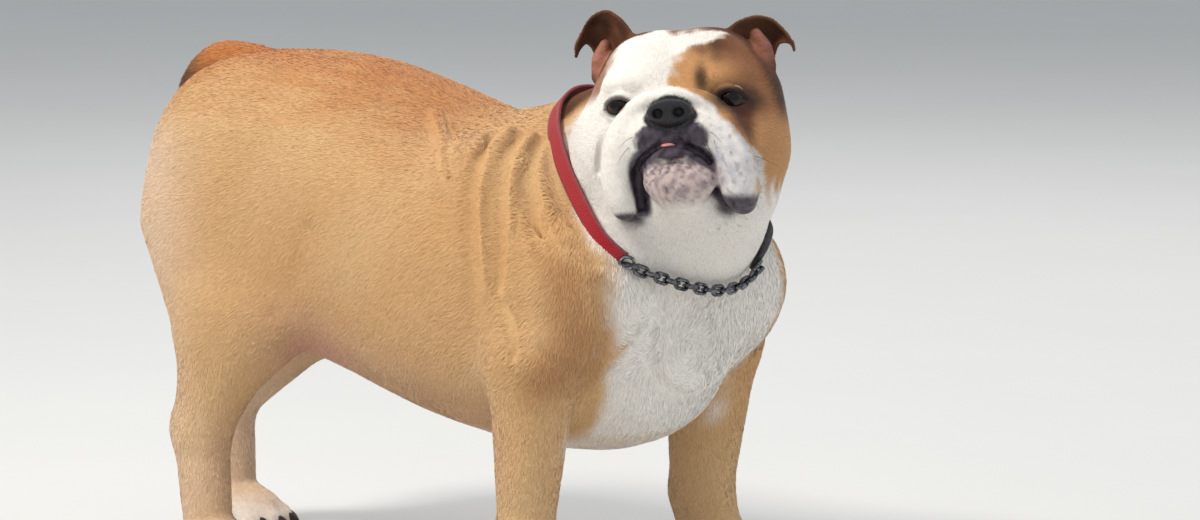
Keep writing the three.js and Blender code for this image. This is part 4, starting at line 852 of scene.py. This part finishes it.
def coat_finish():
    """Short hair: each tuft's own colour, with painted shade at its root and painted light at its tip."""
    m = Finish("coat_hair", Sheen_Weight=0.18, Sheen_Roughness=0.5, Specular_IOR_Level=0.3)
    m.feed(Base_Color=m.attribute("shade"), Roughness=0.62 + 0.1 * m.noise(300.0))
    return m.material


def plain_noise_finish(name, colour, dark, scale, rough, bump, **constants):
    """A colour mottled with a darker one, with a fine grain."""
    m = Finish(name, **constants)
    n = m.noise(scale)
    m.feed(Base_Color=m.blend(n.step(0.35, 0.7), rgba(colour), rgba(dark)),
           Roughness=rough + 0.12 * (n - 0.5))
    m.bump(m.noise(scale * 4), bump)
    return m.material


def eye_finish(name, pupil):
    """Dark brown iris with fine rays round a black pupil, white only at the rim, under a clear cornea."""
    m = Finish(name, Roughness=0.06, Coat_Weight=0.4, Coat_Roughness=0.02, Specular_IOR_Level=0.15)
    offset = m.add("ShaderNodeVectorMath", {"operation": "DISTANCE"},
                   {0: m.place(), 1: tuple(float(v) for v in pupil)}, out="Value")
    rays = m.noise(1400.0)
    iris = m.blend(rays.step(0.3, 0.75), rgba(tone(20, 11, 7)), rgba(tone(46, 25, 14)))
    dark = m.blend(offset.step(0.0036, 0.0044), rgba(tone(6, 5, 5)), iris)
    rim = m.blend(offset.step(0.0058, 0.0068), dark, rgba(tone(22, 14, 12)))
    m.feed(Base_Color=m.blend(offset.step(0.0094, 0.0104), rim, rgba(tone(176, 150, 140))))
    return m.material


def webbing_finish(name, colour, dark):
    """Woven webbing: diagonal ribs along the strap's own map."""
    m = Finish(name, Sheen_Weight=0.3, Specular_IOR_Level=0.3)
    ribs = m.add("ShaderNodeTexWave", {"bands_direction": "DIAGONAL"},
                 {"Vector": m.place(source="UV"), "Scale": 420.0, "Distortion": 0.4})
    fibre = m.noise(1500.0)
    m.feed(Base_Color=m.blend(ribs * 0.7 + fibre * 0.3, rgba(dark), rgba(colour)),
           Roughness=0.72 + 0.1 * fibre)
    m.bump(ribs * 0.8 + fibre * 0.4, 0.0006)
    return m.material


# Pieces
def place(points):
    """Points in the dog's axes in millimetres, as points of the scene in metres."""
    return (np.asarray(points, float) - CENTRE) * MM


def linked(name, data):
    """An object of the scene that carries some data."""
    made = bpy.data.objects.new(name, data)
    bpy.context.scene.collection.objects.link(made)
    return made


def piece(name, points, faces, materials, nodes=(), shares=None):
    """Mesh object from arrays, with its attributes, on the dog's body."""
    mesh = bpy.data.meshes.new(name)
    faces = [np.asarray(f) for f in (faces if isinstance(faces, list) else [faces]) if len(f)]
    loops = np.concatenate([f.ravel() for f in faces]).astype(np.int32)
    sizes = np.concatenate([np.full(len(f), f.shape[1]) for f in faces])
    mesh.vertices.add(len(points))
    mesh.vertices.foreach_set("co", place(points).astype(np.float32).ravel())
    mesh.loops.add(len(loops))
    mesh.loops.foreach_set("vertex_index", loops)
    mesh.polygons.add(len(sizes))
    mesh.polygons.foreach_set("loop_start", (np.cumsum(sizes) - sizes).astype(np.int32))
    mesh.polygons.foreach_set("use_smooth", np.full(len(sizes), True))
    for key, (kind, values) in (shares or {}).items():
        data = mesh.attributes.new(key, kind, "POINT").data
        if kind == "FLOAT_COLOR":
            values = np.hstack([values, np.ones((len(values), 1))])
            data.foreach_set("color", values.astype(np.float32).ravel())
        else:
            data.foreach_set("value", values.astype(np.float32))
    mesh.update(calc_edges=True)
    mesh.validate()
    for material in materials:
        mesh.materials.append(material)
    made = linked(name, mesh)
    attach(made, BODY)
    if nodes:
        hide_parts(*nodes)
    return made


def uv_map(made, name, uv):
    """Gives a piece a UV map from one place for each vertex."""
    mesh = made.data
    loops = np.zeros(len(mesh.loops), np.int32)
    mesh.loops.foreach_get("vertex_index", loops)
    mesh.uv_layers.new(name=name).data.foreach_set("uv", np.asarray(uv, np.float32)[loops].ravel())


def rings_of(path, across, up, widths, heights, sides, power=1.0):
    """Closed rings round a path: w cos t across and h sin t up, with the powers of both softened."""
    t = np.linspace(0, 2 * math.pi, sides, endpoint=False)
    c, s = np.cos(t), np.sin(t)
    c, s = np.sign(c) * np.abs(c)**power, np.sign(s) * np.abs(s)**power
    return (path[:, None] + across[:, None] * (widths[:, None] * c)[..., None]
            + up[:, None] * (heights[:, None] * s)[..., None])


def ring_faces(rows, sides, closed=False):
    """Quads between neighbouring rings, and fans to close the ends of an open tube."""
    j = np.arange(rows if closed else rows - 1)[:, None]
    i = np.arange(sides)[None, :]
    a, b = j * sides + i, j * sides + (i + 1) % sides
    c, d = ((j + 1) % rows) * sides + (i + 1) % sides, ((j + 1) % rows) * sides + i
    quads = np.stack([a, b, c, d], -1).reshape(-1, 4)
    if closed:
        return quads, np.zeros((0, 3), int)
    k = np.arange(1, sides - 1)
    last = (rows - 1) * sides
    caps = np.vstack([np.stack([0 * k, k + 1, k], 1), np.stack([0 * k, k, k + 1], 1) + last])
    return quads, caps


def joined(shapes):
    """Several (points, quads, triangles) as one."""
    points, quads, triangles, n = [], [], [], 0
    for p, q, t in shapes:
        points.append(p.reshape(-1, 3))
        quads.append(q + n)
        triangles.append(t + n)
        n += p.reshape(-1, 3).shape[0]
    return np.vstack(points), [np.vstack(quads), np.vstack(triangles)]


def turned_out(points, faces):
    """Faces turned so that the closed surface holds a positive volume."""
    total = 0.0
    for f in faces:
        for k in range(1, f.shape[1] - 1):
            a, b, c = points[f[:, 0]], points[f[:, k]], points[f[:, k + 1]]
            total += (a * np.cross(b, c)).sum()
    return faces if total > 0 else [f[:, ::-1] for f in faces]


OBLIQUE = (0.13, 0.31, 0.94)    # a direction that no path runs along


def tube_shape(path, radii, sides=10, up=None, squash=1.0):
    """Tube along a path, its rings square to it."""
    path = np.asarray(path, float)
    along = unit(np.gradient(path, axis=0))
    if up is None:
        up = unit(np.cross(along, OBLIQUE))
    else:
        up = unit(up - along * (up * along).sum(1)[:, None])
    across = np.cross(along, up)
    radii = spread(radii, len(path))
    rings = rings_of(path, across, up, radii, radii * squash, sides)
    return (rings, *ring_faces(len(path), sides))


# Eyes
def make_eye(side):
    """Globe with a low cornea: radius r plus a cap that rises as cos squared round the line of sight."""
    at = head_point(mirrored(EYE_AT, SIDES[side]))
    sight = unit(mirrored([0.93, 0.32, 0.03], SIDES[side]) @ HEAD_AXES)
    right = unit(np.cross(sight, [0, 0, 1]))
    up = np.cross(right, sight)
    polar = np.linspace(0, math.pi, 40)[1:-1]
    bulge = 1 + 0.07 * ramp(polar, 0.62, 0.2)
    path = at + sight * (np.cos(polar) * EYE_RADIUS * bulge)[:, None]
    size = np.sin(polar) * EYE_RADIUS * bulge
    rings = rings_of(path, np.tile(right, (38, 1)), np.tile(up, (38, 1)), size, size, 48)
    points, faces = joined([(rings, *ring_faces(38, 48))])
    pupil = place(at + sight * EYE_RADIUS * 1.05)
    piece(f"eyeball_{side}", points, turned_out(points, faces), [eye_finish(f"eye_{side}", pupil)],
          [f"eye_{side}"])


# Claws
def make_claws(name, centre, yaw, size, material):
    """Four claws: tapered tubes that bend down from the front of each toe."""
    f, l, u = axes_of(yaw, 0, 0)
    centre = np.asarray(centre, float)
    shapes = []
    for ahead, aside in TOES:
        t = np.linspace(0, 1, 9)[:, None]
        start = centre + f * (ahead * size + 7.5) + l * aside * size * 1.03 - u * (centre[2] - 13.5)
        path = start + f * (12 * t) + u * (1.5 * t - 9.5 * t**2)
        shapes.append(tube_shape(path, 3.1 * np.sqrt(1.02 - t[:, 0]**1.6), 10))
    points, faces = joined(shapes)
    piece(name, points, turned_out(points, faces), [material])


# Whiskers: their roots in the head's axes
WHISKERS = [(68, 25, -12), (63, 31, -17), (57, 36, -22), (68, 24, -19), (63, 30, -26), (56, 35, -33),
            (50, 40, -30)]


def make_whiskers(points, normals, material):
    """Fine tapered hairs from both sides of the muzzle, each a parabola that bends down and back."""
    rng = np.random.default_rng(29)
    t = np.linspace(0, 1, 9)[:, None]
    shapes = []
    for sign in SIDES.values():
        bend = mirrored([-0.3, 0.05, -0.35], sign) @ HEAD_AXES
        for root in WHISKERS:
            near = np.argmin(np.linalg.norm(points - head_point(mirrored(root, sign)), axis=1))
            out = unit(normals[near] + mirrored([0.3, 0.3, -0.15], sign) @ HEAD_AXES)
            path = points[near] + rng.uniform(15, 24) * (out * (t - 0.05) + bend * t**2)
            shapes.append(tube_shape(path, 0.24 * (1 - 0.8 * t[:, 0]), 5))
    points, faces = joined(shapes)
    piece("whiskers", points, turned_out(points, faces), [material])


# Collar
COLLAR_THICK = 3.2
STRAP_GIRTH = 0.046             # metres of webbing once round a strap's section
STRAP_RED = dict(start=162, end=302, wide=(13, 14, 12))
STRAP_BLACK = dict(start=36, end=160, wide=(13, 14, 13))
CHAIN = dict(start=305.5, end=392, links=17, wire=1.5, broad=9.5, bite=0.5, lift=1.6)
NORMAL = unit(NECK_PLANE)
RAY_X = unit(np.cross([0, 1, 0], NORMAL))
RAY_Y = np.cross(NORMAL, RAY_X)


def collar_ray(angle):
    """Unit direction in the collar plane."""
    a = np.radians(np.atleast_1d(angle))[:, None]
    return RAY_X * np.cos(a) + RAY_Y * np.sin(a)


def collar_table():
    """How far the neck reaches from the collar's middle each 5 degrees, drawn taut over its hollows."""
    angles = np.arange(72) * 5.0
    ray = collar_ray(angles)
    steps = np.arange(30, 162, 0.5)
    where = NECK_CENTRE + ray[:, None] * steps[None, :, None]
    value = field(*where.reshape(-1, 3).T.copy()).reshape(72, -1)
    raw = steps[np.argmax(value > 0, axis=1)]
    flat = raw[:, None] * np.stack([np.cos(np.radians(angles)), np.sin(np.radians(angles))], 1)
    way = flat / raw[:, None]
    hull = raw.copy()
    for a in range(1, 12):
        for b in range(1, 12):
            p, q = np.roll(flat, a, 0), np.roll(flat, -b, 0)
            e = q - p
            den = way[:, 0] * e[:, 1] - way[:, 1] * e[:, 0]
            den = np.where(np.abs(den) < 1e-6, 1, den)
            hull = np.maximum(hull, (p[:, 0] * e[:, 1] - p[:, 1] * e[:, 0]) / den)
    even = sum(np.roll(hull, k) for k in range(-2, 3)) / 5
    return np.maximum(even, raw)


def collar_point(table, angle, out):
    """Point over the collar's table at an angle, a distance out."""
    angle = np.atleast_1d(np.asarray(angle, float))
    t = (angle % 360) / 5
    i = np.floor(t).astype(int)
    r = table[i % 72] * (1 - t + i) + table[(i + 1) % 72] * (t - i)
    return NECK_CENTRE + collar_ray(angle) * (r + out)[:, None]


def make_strap(name, table, strap, material):
    """Flat band: a rounded box section carried along the collar."""
    count, sides = 90, 20
    angles = np.linspace(strap["start"], strap["end"], count)
    path = collar_point(table, angles, 0.4 + COLLAR_THICK / 2)
    kernel = np.ones(5) / 5
    for k in range(3):
        path[2:-2, k] = np.convolve(path[:, k], kernel, "valid")
    along = unit(np.gradient(path, axis=0))
    out = unit(np.cross(along, NORMAL))
    out = out * np.sign((out * collar_ray(angles)).sum(1))[:, None]
    wide = spread(strap["wide"], count) / 2
    thick = np.full(count, COLLAR_THICK / 2)
    rings = rings_of(path, np.tile(NORMAL, (count, 1)), out, wide, thick, sides, 0.35)
    points, faces = joined([(rings, *ring_faces(count, sides))])
    run = np.concatenate([[0], np.cumsum(np.linalg.norm(np.diff(path, axis=0), axis=1))]) * MM
    turn = np.arange(sides) / sides * STRAP_GIRTH
    node = name.replace("webbing", "strap")
    made = piece(name, points, turned_out(points, faces), [material], [node])
    uv_map(made, "strap", np.stack(np.broadcast_arrays(run[:, None], turn[None, :]), -1).reshape(-1, 2))


def link_shape(centre, a, b, long, broad, wire, steps=28, sides=10):
    """Round wire along a stadium in the plane of a and b."""
    t = (np.arange(steps) + 0.5) * 2 * math.pi / steps
    r, h = broad / 2 - wire, long / 2 - broad / 2
    out = a * np.cos(t)[:, None] + b * np.sin(t)[:, None]
    path = centre + out * r + a * (np.sign(np.cos(t)) * h)[:, None]
    normal = np.tile(np.cross(a, b), (steps, 1))
    rings = rings_of(path, out, normal, np.full(steps, wire), np.full(steps, wire), sides)
    return (rings, *ring_faces(steps, sides, closed=True))


def make_chain(table, material):
    """Links spaced evenly by length round the front of the collar, each turned against the next."""
    out = CHAIN["broad"] / 2 + CHAIN["lift"]
    fine = np.linspace(CHAIN["start"], CHAIN["end"], 241)
    run = np.linalg.norm(np.diff(collar_point(table, fine, out), axis=0), axis=1)
    run = np.concatenate([[0], np.cumsum(run)])
    pitch = run[-1] / (CHAIN["links"] - 1)
    angles = np.interp(np.arange(CHAIN["links"]) * pitch, run, fine)
    centres = collar_point(table, angles, out)
    shapes = []
    for i, (centre, angle) in enumerate(zip(centres, angles)):
        tangent = unit(centres[min(i + 1, len(centres) - 1)] - centres[max(i - 1, 0)])
        side = unit(np.cross(tangent, collar_ray(angle)[0]))
        outward = np.cross(side, tangent)
        turn = math.radians(42 if i % 2 else -42)
        b = side * math.cos(turn) + outward * math.sin(turn)
        long = pitch + 4 * CHAIN["wire"] - CHAIN["bite"]
        shapes.append(link_shape(centre, tangent, b, long, CHAIN["broad"], CHAIN["wire"]))
    points, faces = joined(shapes)
    piece("chain_links", points, turned_out(points, [faces[0]]), [material], ["collar_chain"])


# Coat: for each piece its number of blades, and their width, length and lift
COAT_REGIONS = {
    "coat_head_front": (64000, 0.45, 3.3, 0.28), "coat_head_back": (58000, 0.5, 4.0, 0.32),
    "coat_neck": (63000, 0.66, 5.4, 0.36), "coat_chest": (65000, 0.66, 6.0, 0.36),
    "coat_flank": (66000, 0.66, 5.4, 0.32), "coat_rump": (66000, 0.66, 5.4, 0.32),
    "coat_forelegs": (48000, 0.62, 4.4, 0.32), "coat_hind_legs": (60000, 0.62, 4.8, 0.32)}
SWING, ROLL = 0.13, 0.25        # spread of a blade's turn in the skin and about itself, radians
ROOT_DEPTH = 0.35               # how far a blade starts below the skin
BARE_QUAD, BARE_ROOT = 0.7, 0.75    # shares of bare skin above which no blade grows or stays
# painted shade at a blade's root and painted light at its tip, as factors on its colour
BLADE_SHADING = np.array([0.86, 0.86, 0.98, 0.98, 1.05])   # light of a blade's five points, root to tip
PATCH = 0.0015                  # half a blade's width on the unwrap


def region_of(points):
    """Number of the coat piece that a point belongs to: the head ahead of the collar plane, then neck,
    chest and forelegs before x = 60, rump and hind legs behind x = -60, and the flank between."""
    x, y, z = points.T
    forward = in_head(points)[:, 0]
    ahead = (points - NECK_CENTRE) @ NORMAL
    front, rear, beside = x > 60, x < -60, np.abs(y)
    region = np.where(rear, 5, 4)
    region = np.where(front & (ahead < 0), 3, region)
    region = np.where(front & (ahead > -75) & (z > 270), 2, region)
    region = np.where(front & (z < 175) & (beside > 66), 6, region)
    region = np.where(rear & (z < 225) & (beside > 20), 7, region)
    return np.where(ahead > 0, np.where(forward > 12, 0, 1), region)


def box_unwrap(points, normals):
    """Unwrap of a closed form: faces that look along one axis share a flat island, six in a 3 by 2 sheet."""
    low, size = points.min(0), np.ptp(points, axis=0).max() + 1e-6
    unitbox = (points - low) / size
    axis = np.abs(normals).argmax(1)
    back = normals[np.arange(len(points)), axis] < 0
    u = np.where(axis == 0, unitbox[:, 1], unitbox[:, 0])
    v = np.where(axis == 2, unitbox[:, 1], unitbox[:, 2])
    return np.stack([(axis + 0.02 + 0.96 * u) / 3, (back + 0.02 + 0.96 * v) / 2], 1)


def coat_scale(points):
    """Size of a blade against the others of its piece: less on the muzzle, the paws and the ears."""
    q, head = in_head(points), head_share(points)
    scale = 1 - 0.55 * ramp(q[:, 0], 30, 62) * head - 0.45 * ramp(points[:, 2], 60, 30) * (1 - head)
    return scale * (1 - 0.6 * ear_share(q) * head)


def between(corners, s, t):
    """Value at a place in each quad: its four corners' values mixed by s along it and by t across it."""
    a, b, c, d = (corners[:, k] for k in range(4))
    return (a * (1 - s) + b * s) * (1 - t) + (d * (1 - s) + c * s) * t


def make_coat(points, quads, normals, material):
    """Tufts of short hair: flat tapered blades rooted all over the skin, lying along the coat."""
    rng = np.random.default_rng(17)
    corners = points[quads]
    area = np.linalg.norm(np.cross(corners[:, 2] - corners[:, 0], corners[:, 3] - corners[:, 1]), axis=1) / 2
    middle = corners.mean(1)
    region = region_of(middle)
    _, bare, _ = markings(middle)
    grows = (bare < BARE_QUAD) & (middle[:, 2] > 1.5)
    for number, (name, (count, width, length, lift)) in enumerate(COAT_REGIONS.items()):
        mine = np.where((region == number) & grows)[0]
        weight = area[mine] * (1 - bare[mine])
        pick = mine[rng.choice(len(mine), count, p=weight / weight.sum())]
        s, t = rng.random((2, count, 1))
        root = between(corners[pick], s, t)
        n = unit(between(normals[quads[pick]], s, t))
        way = lie_of(root, n)
        across = np.cross(n, way)
        swing = rng.normal(0, SWING, (count, 1))
        way = way * np.cos(swing) + across * np.sin(swing)
        roll = rng.normal(0, ROLL, (count, 1))
        across = np.cross(n, way) * np.cos(roll) + n * np.sin(roll)
        size = (rng.uniform(0.7, 1.25, count) * coat_scale(root))[:, None]
        long, half = length * size, width * size**0.7 / 2
        rise = lift * size * rng.uniform(0.4, 1.5, (count, 1))
        base = root - n * ROOT_DEPTH
        bend = root + way * long * 0.5 + n * rise
        tip = root + way * long + n * rise * 0.9
        tip[:, 2] = np.maximum(tip[:, 2], 0.4)
        blades = np.stack([base - across * half, base + across * half, bend + across * half * 0.85,
                           bend - across * half * 0.85, tip], 1)
        colour, bareness, _ = markings(root)
        keep = bareness < BARE_ROOT
        light = 1 + 0.045 * rng.normal(0, 1, (count, 1)) + 0.02 * rng.normal(0, 1, (count, 3))
        # each blade's colour with painted shade towards its root and painted light at its tip
        shade = np.clip(colour * light, 0, 1)[:, None] * BLADE_SHADING[None, :, None]
        blades, shade = blades[keep], np.clip(shade[keep], 0, 1)
        first = np.arange(len(blades))[:, None] * 5
        faces = [first + [0, 1, 2, 3], first + [3, 2, 4]]
        made = piece(name, blades.reshape(-1, 3), faces, [material],
                     shares={"shade": ("FLOAT_COLOR", shade.reshape(-1, 3))})
        outline = PATCH * np.array([(-1, -1), (1, -1), (1, 0), (-1, 0), (0, 1)])
        uv = box_unwrap(root[keep], n[keep])[:, None] + outline[None]
        uv_map(made, "OFBake", uv.reshape(-1, 2))


# The dog
shape_body()
shape_head()
collar_reach = collar_table()
for ear in EAR:
    shape_ear(ear)
skin_points, skin_quads = flesh_surface()
skin_normals = normals_of(skin_points, skin_quads)
if skin_normals[np.argmax(skin_points[:, 2]), 2] < 0:
    skin_quads, skin_normals = skin_quads[:, ::-1], -skin_normals
COAT_DEPTH, FACE_DEPTH = 1.3, 0.5
FLOOR_GAP = 0.3
SKIN_SHARE = 0.52               # share of the skin's triangles that is kept, fewest where it is flat
depth = COAT_DEPTH + (FACE_DEPTH - COAT_DEPTH) * head_share(skin_points)
skin_points = skin_points - skin_normals * depth[:, None]
skin_points[:, 2] = np.maximum(skin_points[:, 2], FLOOR_GAP)
FLESH_NODES = [n for n in frame["nodes"] if not n.startswith(("eye_", "collar_"))]
skin_shade, skin_bare, skin_wet = markings(skin_points)
skin = piece("skin", skin_points, skin_quads, [hide_finish()], FLESH_NODES,
             shares={"shade": ("FLOAT_COLOR", skin_shade * 0.94), "bare": ("FLOAT", skin_bare),
                     "wet": ("FLOAT", skin_wet)})
thinner = skin.modifiers.new("thinner", "DECIMATE")
thinner.ratio = SKIN_SHARE
for side in SIDES:
    make_eye(side)
tongue = head_point([(66, -3, -22), (71, -3, -20.6), (75.5, -3.5, -20.2), (78, -4, -20.6)])
points, faces = joined([tube_shape(tongue, (3.5, 5.5, 5, 1.5), 14, HEAD_AXES[2], 0.3)])
tongue_skin = plain_noise_finish("tongue_skin", tone(214, 150, 146), tone(188, 116, 116), 700.0, 0.3, 0.0002)
piece("tongue", points, turned_out(points, faces), [tongue_skin])
claw = plain_noise_finish("claw_horn", tone(60, 48, 44), tone(28, 23, 22), 500.0, 0.35, 0.0002)
for side in SIDES:
    make_claws(f"claws_fore_{side}", FORE[side]["paw"], FORE[side]["yaw"], 1.1, claw)
    make_claws(f"claws_hind_{side}", HIND[side]["paw"], HIND[side]["yaw"], 1.0, claw)
whisker = plain_noise_finish("whisker_horn", tone(70, 58, 54), tone(34, 28, 26), 500.0, 0.5, 0.0001)
make_whiskers(skin_points, skin_normals, whisker)
make_strap("collar_webbing_red", collar_reach, STRAP_RED,
           webbing_finish("red_webbing", tone(196, 12, 34), tone(116, 4, 16)))
make_strap("collar_webbing_black", collar_reach, STRAP_BLACK,
           webbing_finish("black_webbing", tone(26, 25, 28), tone(8, 8, 9)))
ring_steel = plain_noise_finish("ring_steel", tone(150, 152, 158), tone(84, 86, 92), 400.0, 0.2, 0.0001,
                                Metallic=1.0)
for side, angle in (("red", 303.6), ("black", 34.4)):
    middle = collar_point(collar_reach, angle, 4.2)[0]
    way = unit(collar_point(collar_reach, angle + 1, 4.2)[0] - middle)
    ring = link_shape(middle, way, NORMAL, 13, 13, 1.3, 36)
    points, faces = joined([ring])
    piece(f"collar_ring_{side}", points, turned_out(points, [faces[0]]), [ring_steel])
steel = plain_noise_finish("steel", tone(122, 124, 130), tone(38, 39, 43), 300.0, 0.24, 0.0001, Metallic=1.0)
make_chain(collar_reach, steel)
make_coat(skin_points, skin_quads, skin_normals, coat_finish())


# Floor, light and camera
def make_floor():
    """Pale floor that turns up softly far behind, so that no edge shows: z = 0, then a quarter round."""
    across = np.linspace(-14, 14, 9)
    run = np.concatenate([np.linspace(-14, 12, 9), 12 + 8 * np.sin(np.linspace(0, math.pi / 2, 14)[1:])])
    rise = np.concatenate([np.zeros(9), 8 - 8 * np.cos(np.linspace(0, math.pi / 2, 14)[1:])])
    gx, gy = np.meshgrid(across, run, indexing="ij")
    gz = np.tile(rise, (len(across), 1))
    a = math.radians(CAMERA["azimuth"])
    points = np.stack([gx * math.cos(a) - gy * math.sin(a), gx * math.sin(a) + gy * math.cos(a), gz], -1)
    n = len(run)
    i, j = (k.ravel() for k in np.meshgrid(np.arange(len(across) - 1), np.arange(n - 1), indexing="ij"))
    quads = np.stack([i * n + j, (i + 1) * n + j, (i + 1) * n + j + 1, i * n + j + 1], 1)
    mesh = bpy.data.meshes.new("studio_floor")
    mesh.from_pydata(points.reshape(-1, 3).tolist(), [], quads.tolist())
    mesh.polygons.foreach_set("use_smooth", np.full(len(quads), True))
    made = linked("studio_floor", mesh)
    m = Finish("floor_paint", Roughness=0.9)
    n = m.noise(3.0)
    m.feed(Base_Color=m.blend(n, rgba((0.62, 0.615, 0.6)), rgba((0.66, 0.655, 0.64))))
    mesh.materials.append(m.material)


CAMERA = dict(azimuth=33, elevation=7, distance=4.5, target=(0.1189, -0.0002, 0.25), lens=180)


def looking(azimuth, elevation):
    """Unit vector from the target towards a place at an azimuth and elevation."""
    a, e = math.radians(azimuth), math.radians(elevation)
    return np.array([math.sin(a) * math.cos(e), -math.cos(a) * math.cos(e), math.sin(e)])


def aim(made, at, target):
    """Sets an object at a place, its -Z towards the target and its Y up."""
    back = unit(np.asarray(at) - np.asarray(target))
    right = unit(np.cross([0, 0, 1], back))
    up = np.cross(back, right)
    turned = np.stack([right, up, back], 1)
    made.matrix_world = Matrix([(*row, shift) for row, shift in zip(turned, at)] + [(0, 0, 0, 1)])


def make_camera():
    """The photograph's view: a long lens aimed at the middle of the picture."""
    data = bpy.data.cameras.new("camera")
    data.lens, data.sensor_width = CAMERA["lens"], 36
    data.clip_end = 60
    made = linked("camera", data)
    target = np.array(CAMERA["target"])
    aim(made, target + looking(CAMERA["azimuth"], CAMERA["elevation"]) * CAMERA["distance"], target)
    bpy.context.scene.camera = made


# Lamps: azimuth, elevation, distance, size, power and colour
LIGHTS = {
    "key": (-18, 50, 3.0, 0.7, 72, (1.0, 0.96, 0.9)),
    "glint": (-8, 46, 3.0, 0.24, 3, (1.0, 1.0, 1.0)),
    "fill": (95, 18, 4.0, 3.0, 30, (0.9, 0.95, 1.0)),
    "rim": (200, 45, 3.5, 1.6, 40, (1.0, 0.98, 0.95)),
    "top": (20, 85, 3.5, 2.5, 20, (1.0, 1.0, 1.0))}
SKY, SKY_STRENGTH = (0.9, 0.95, 1.0, 1), 0.58


def make_lights():
    """Soft studio lamps round the dog, only the small glint seen in gloss, under an even sky."""
    target = np.array([0.0, 0.0, 0.2])
    for name, (azimuth, elevation, distance, size, power, colour) in LIGHTS.items():
        data = bpy.data.lights.new(name, "AREA")
        data.size, data.energy, data.color = size, power, colour
        made = linked(name, data)
        made.visible_glossy = name == "glint"
        aim(made, target + looking(azimuth, elevation) * distance, target)
    world = bpy.data.worlds.new("studio")
    bpy.context.scene.world = world
    world.use_nodes = True
    sky = world.node_tree.nodes["Background"]
    sky.inputs["Color"].default_value = SKY
    sky.inputs["Strength"].default_value = SKY_STRENGTH


make_floor()
make_camera()
make_lights()
bpy.context.scene.view_settings.view_transform = "Standard"
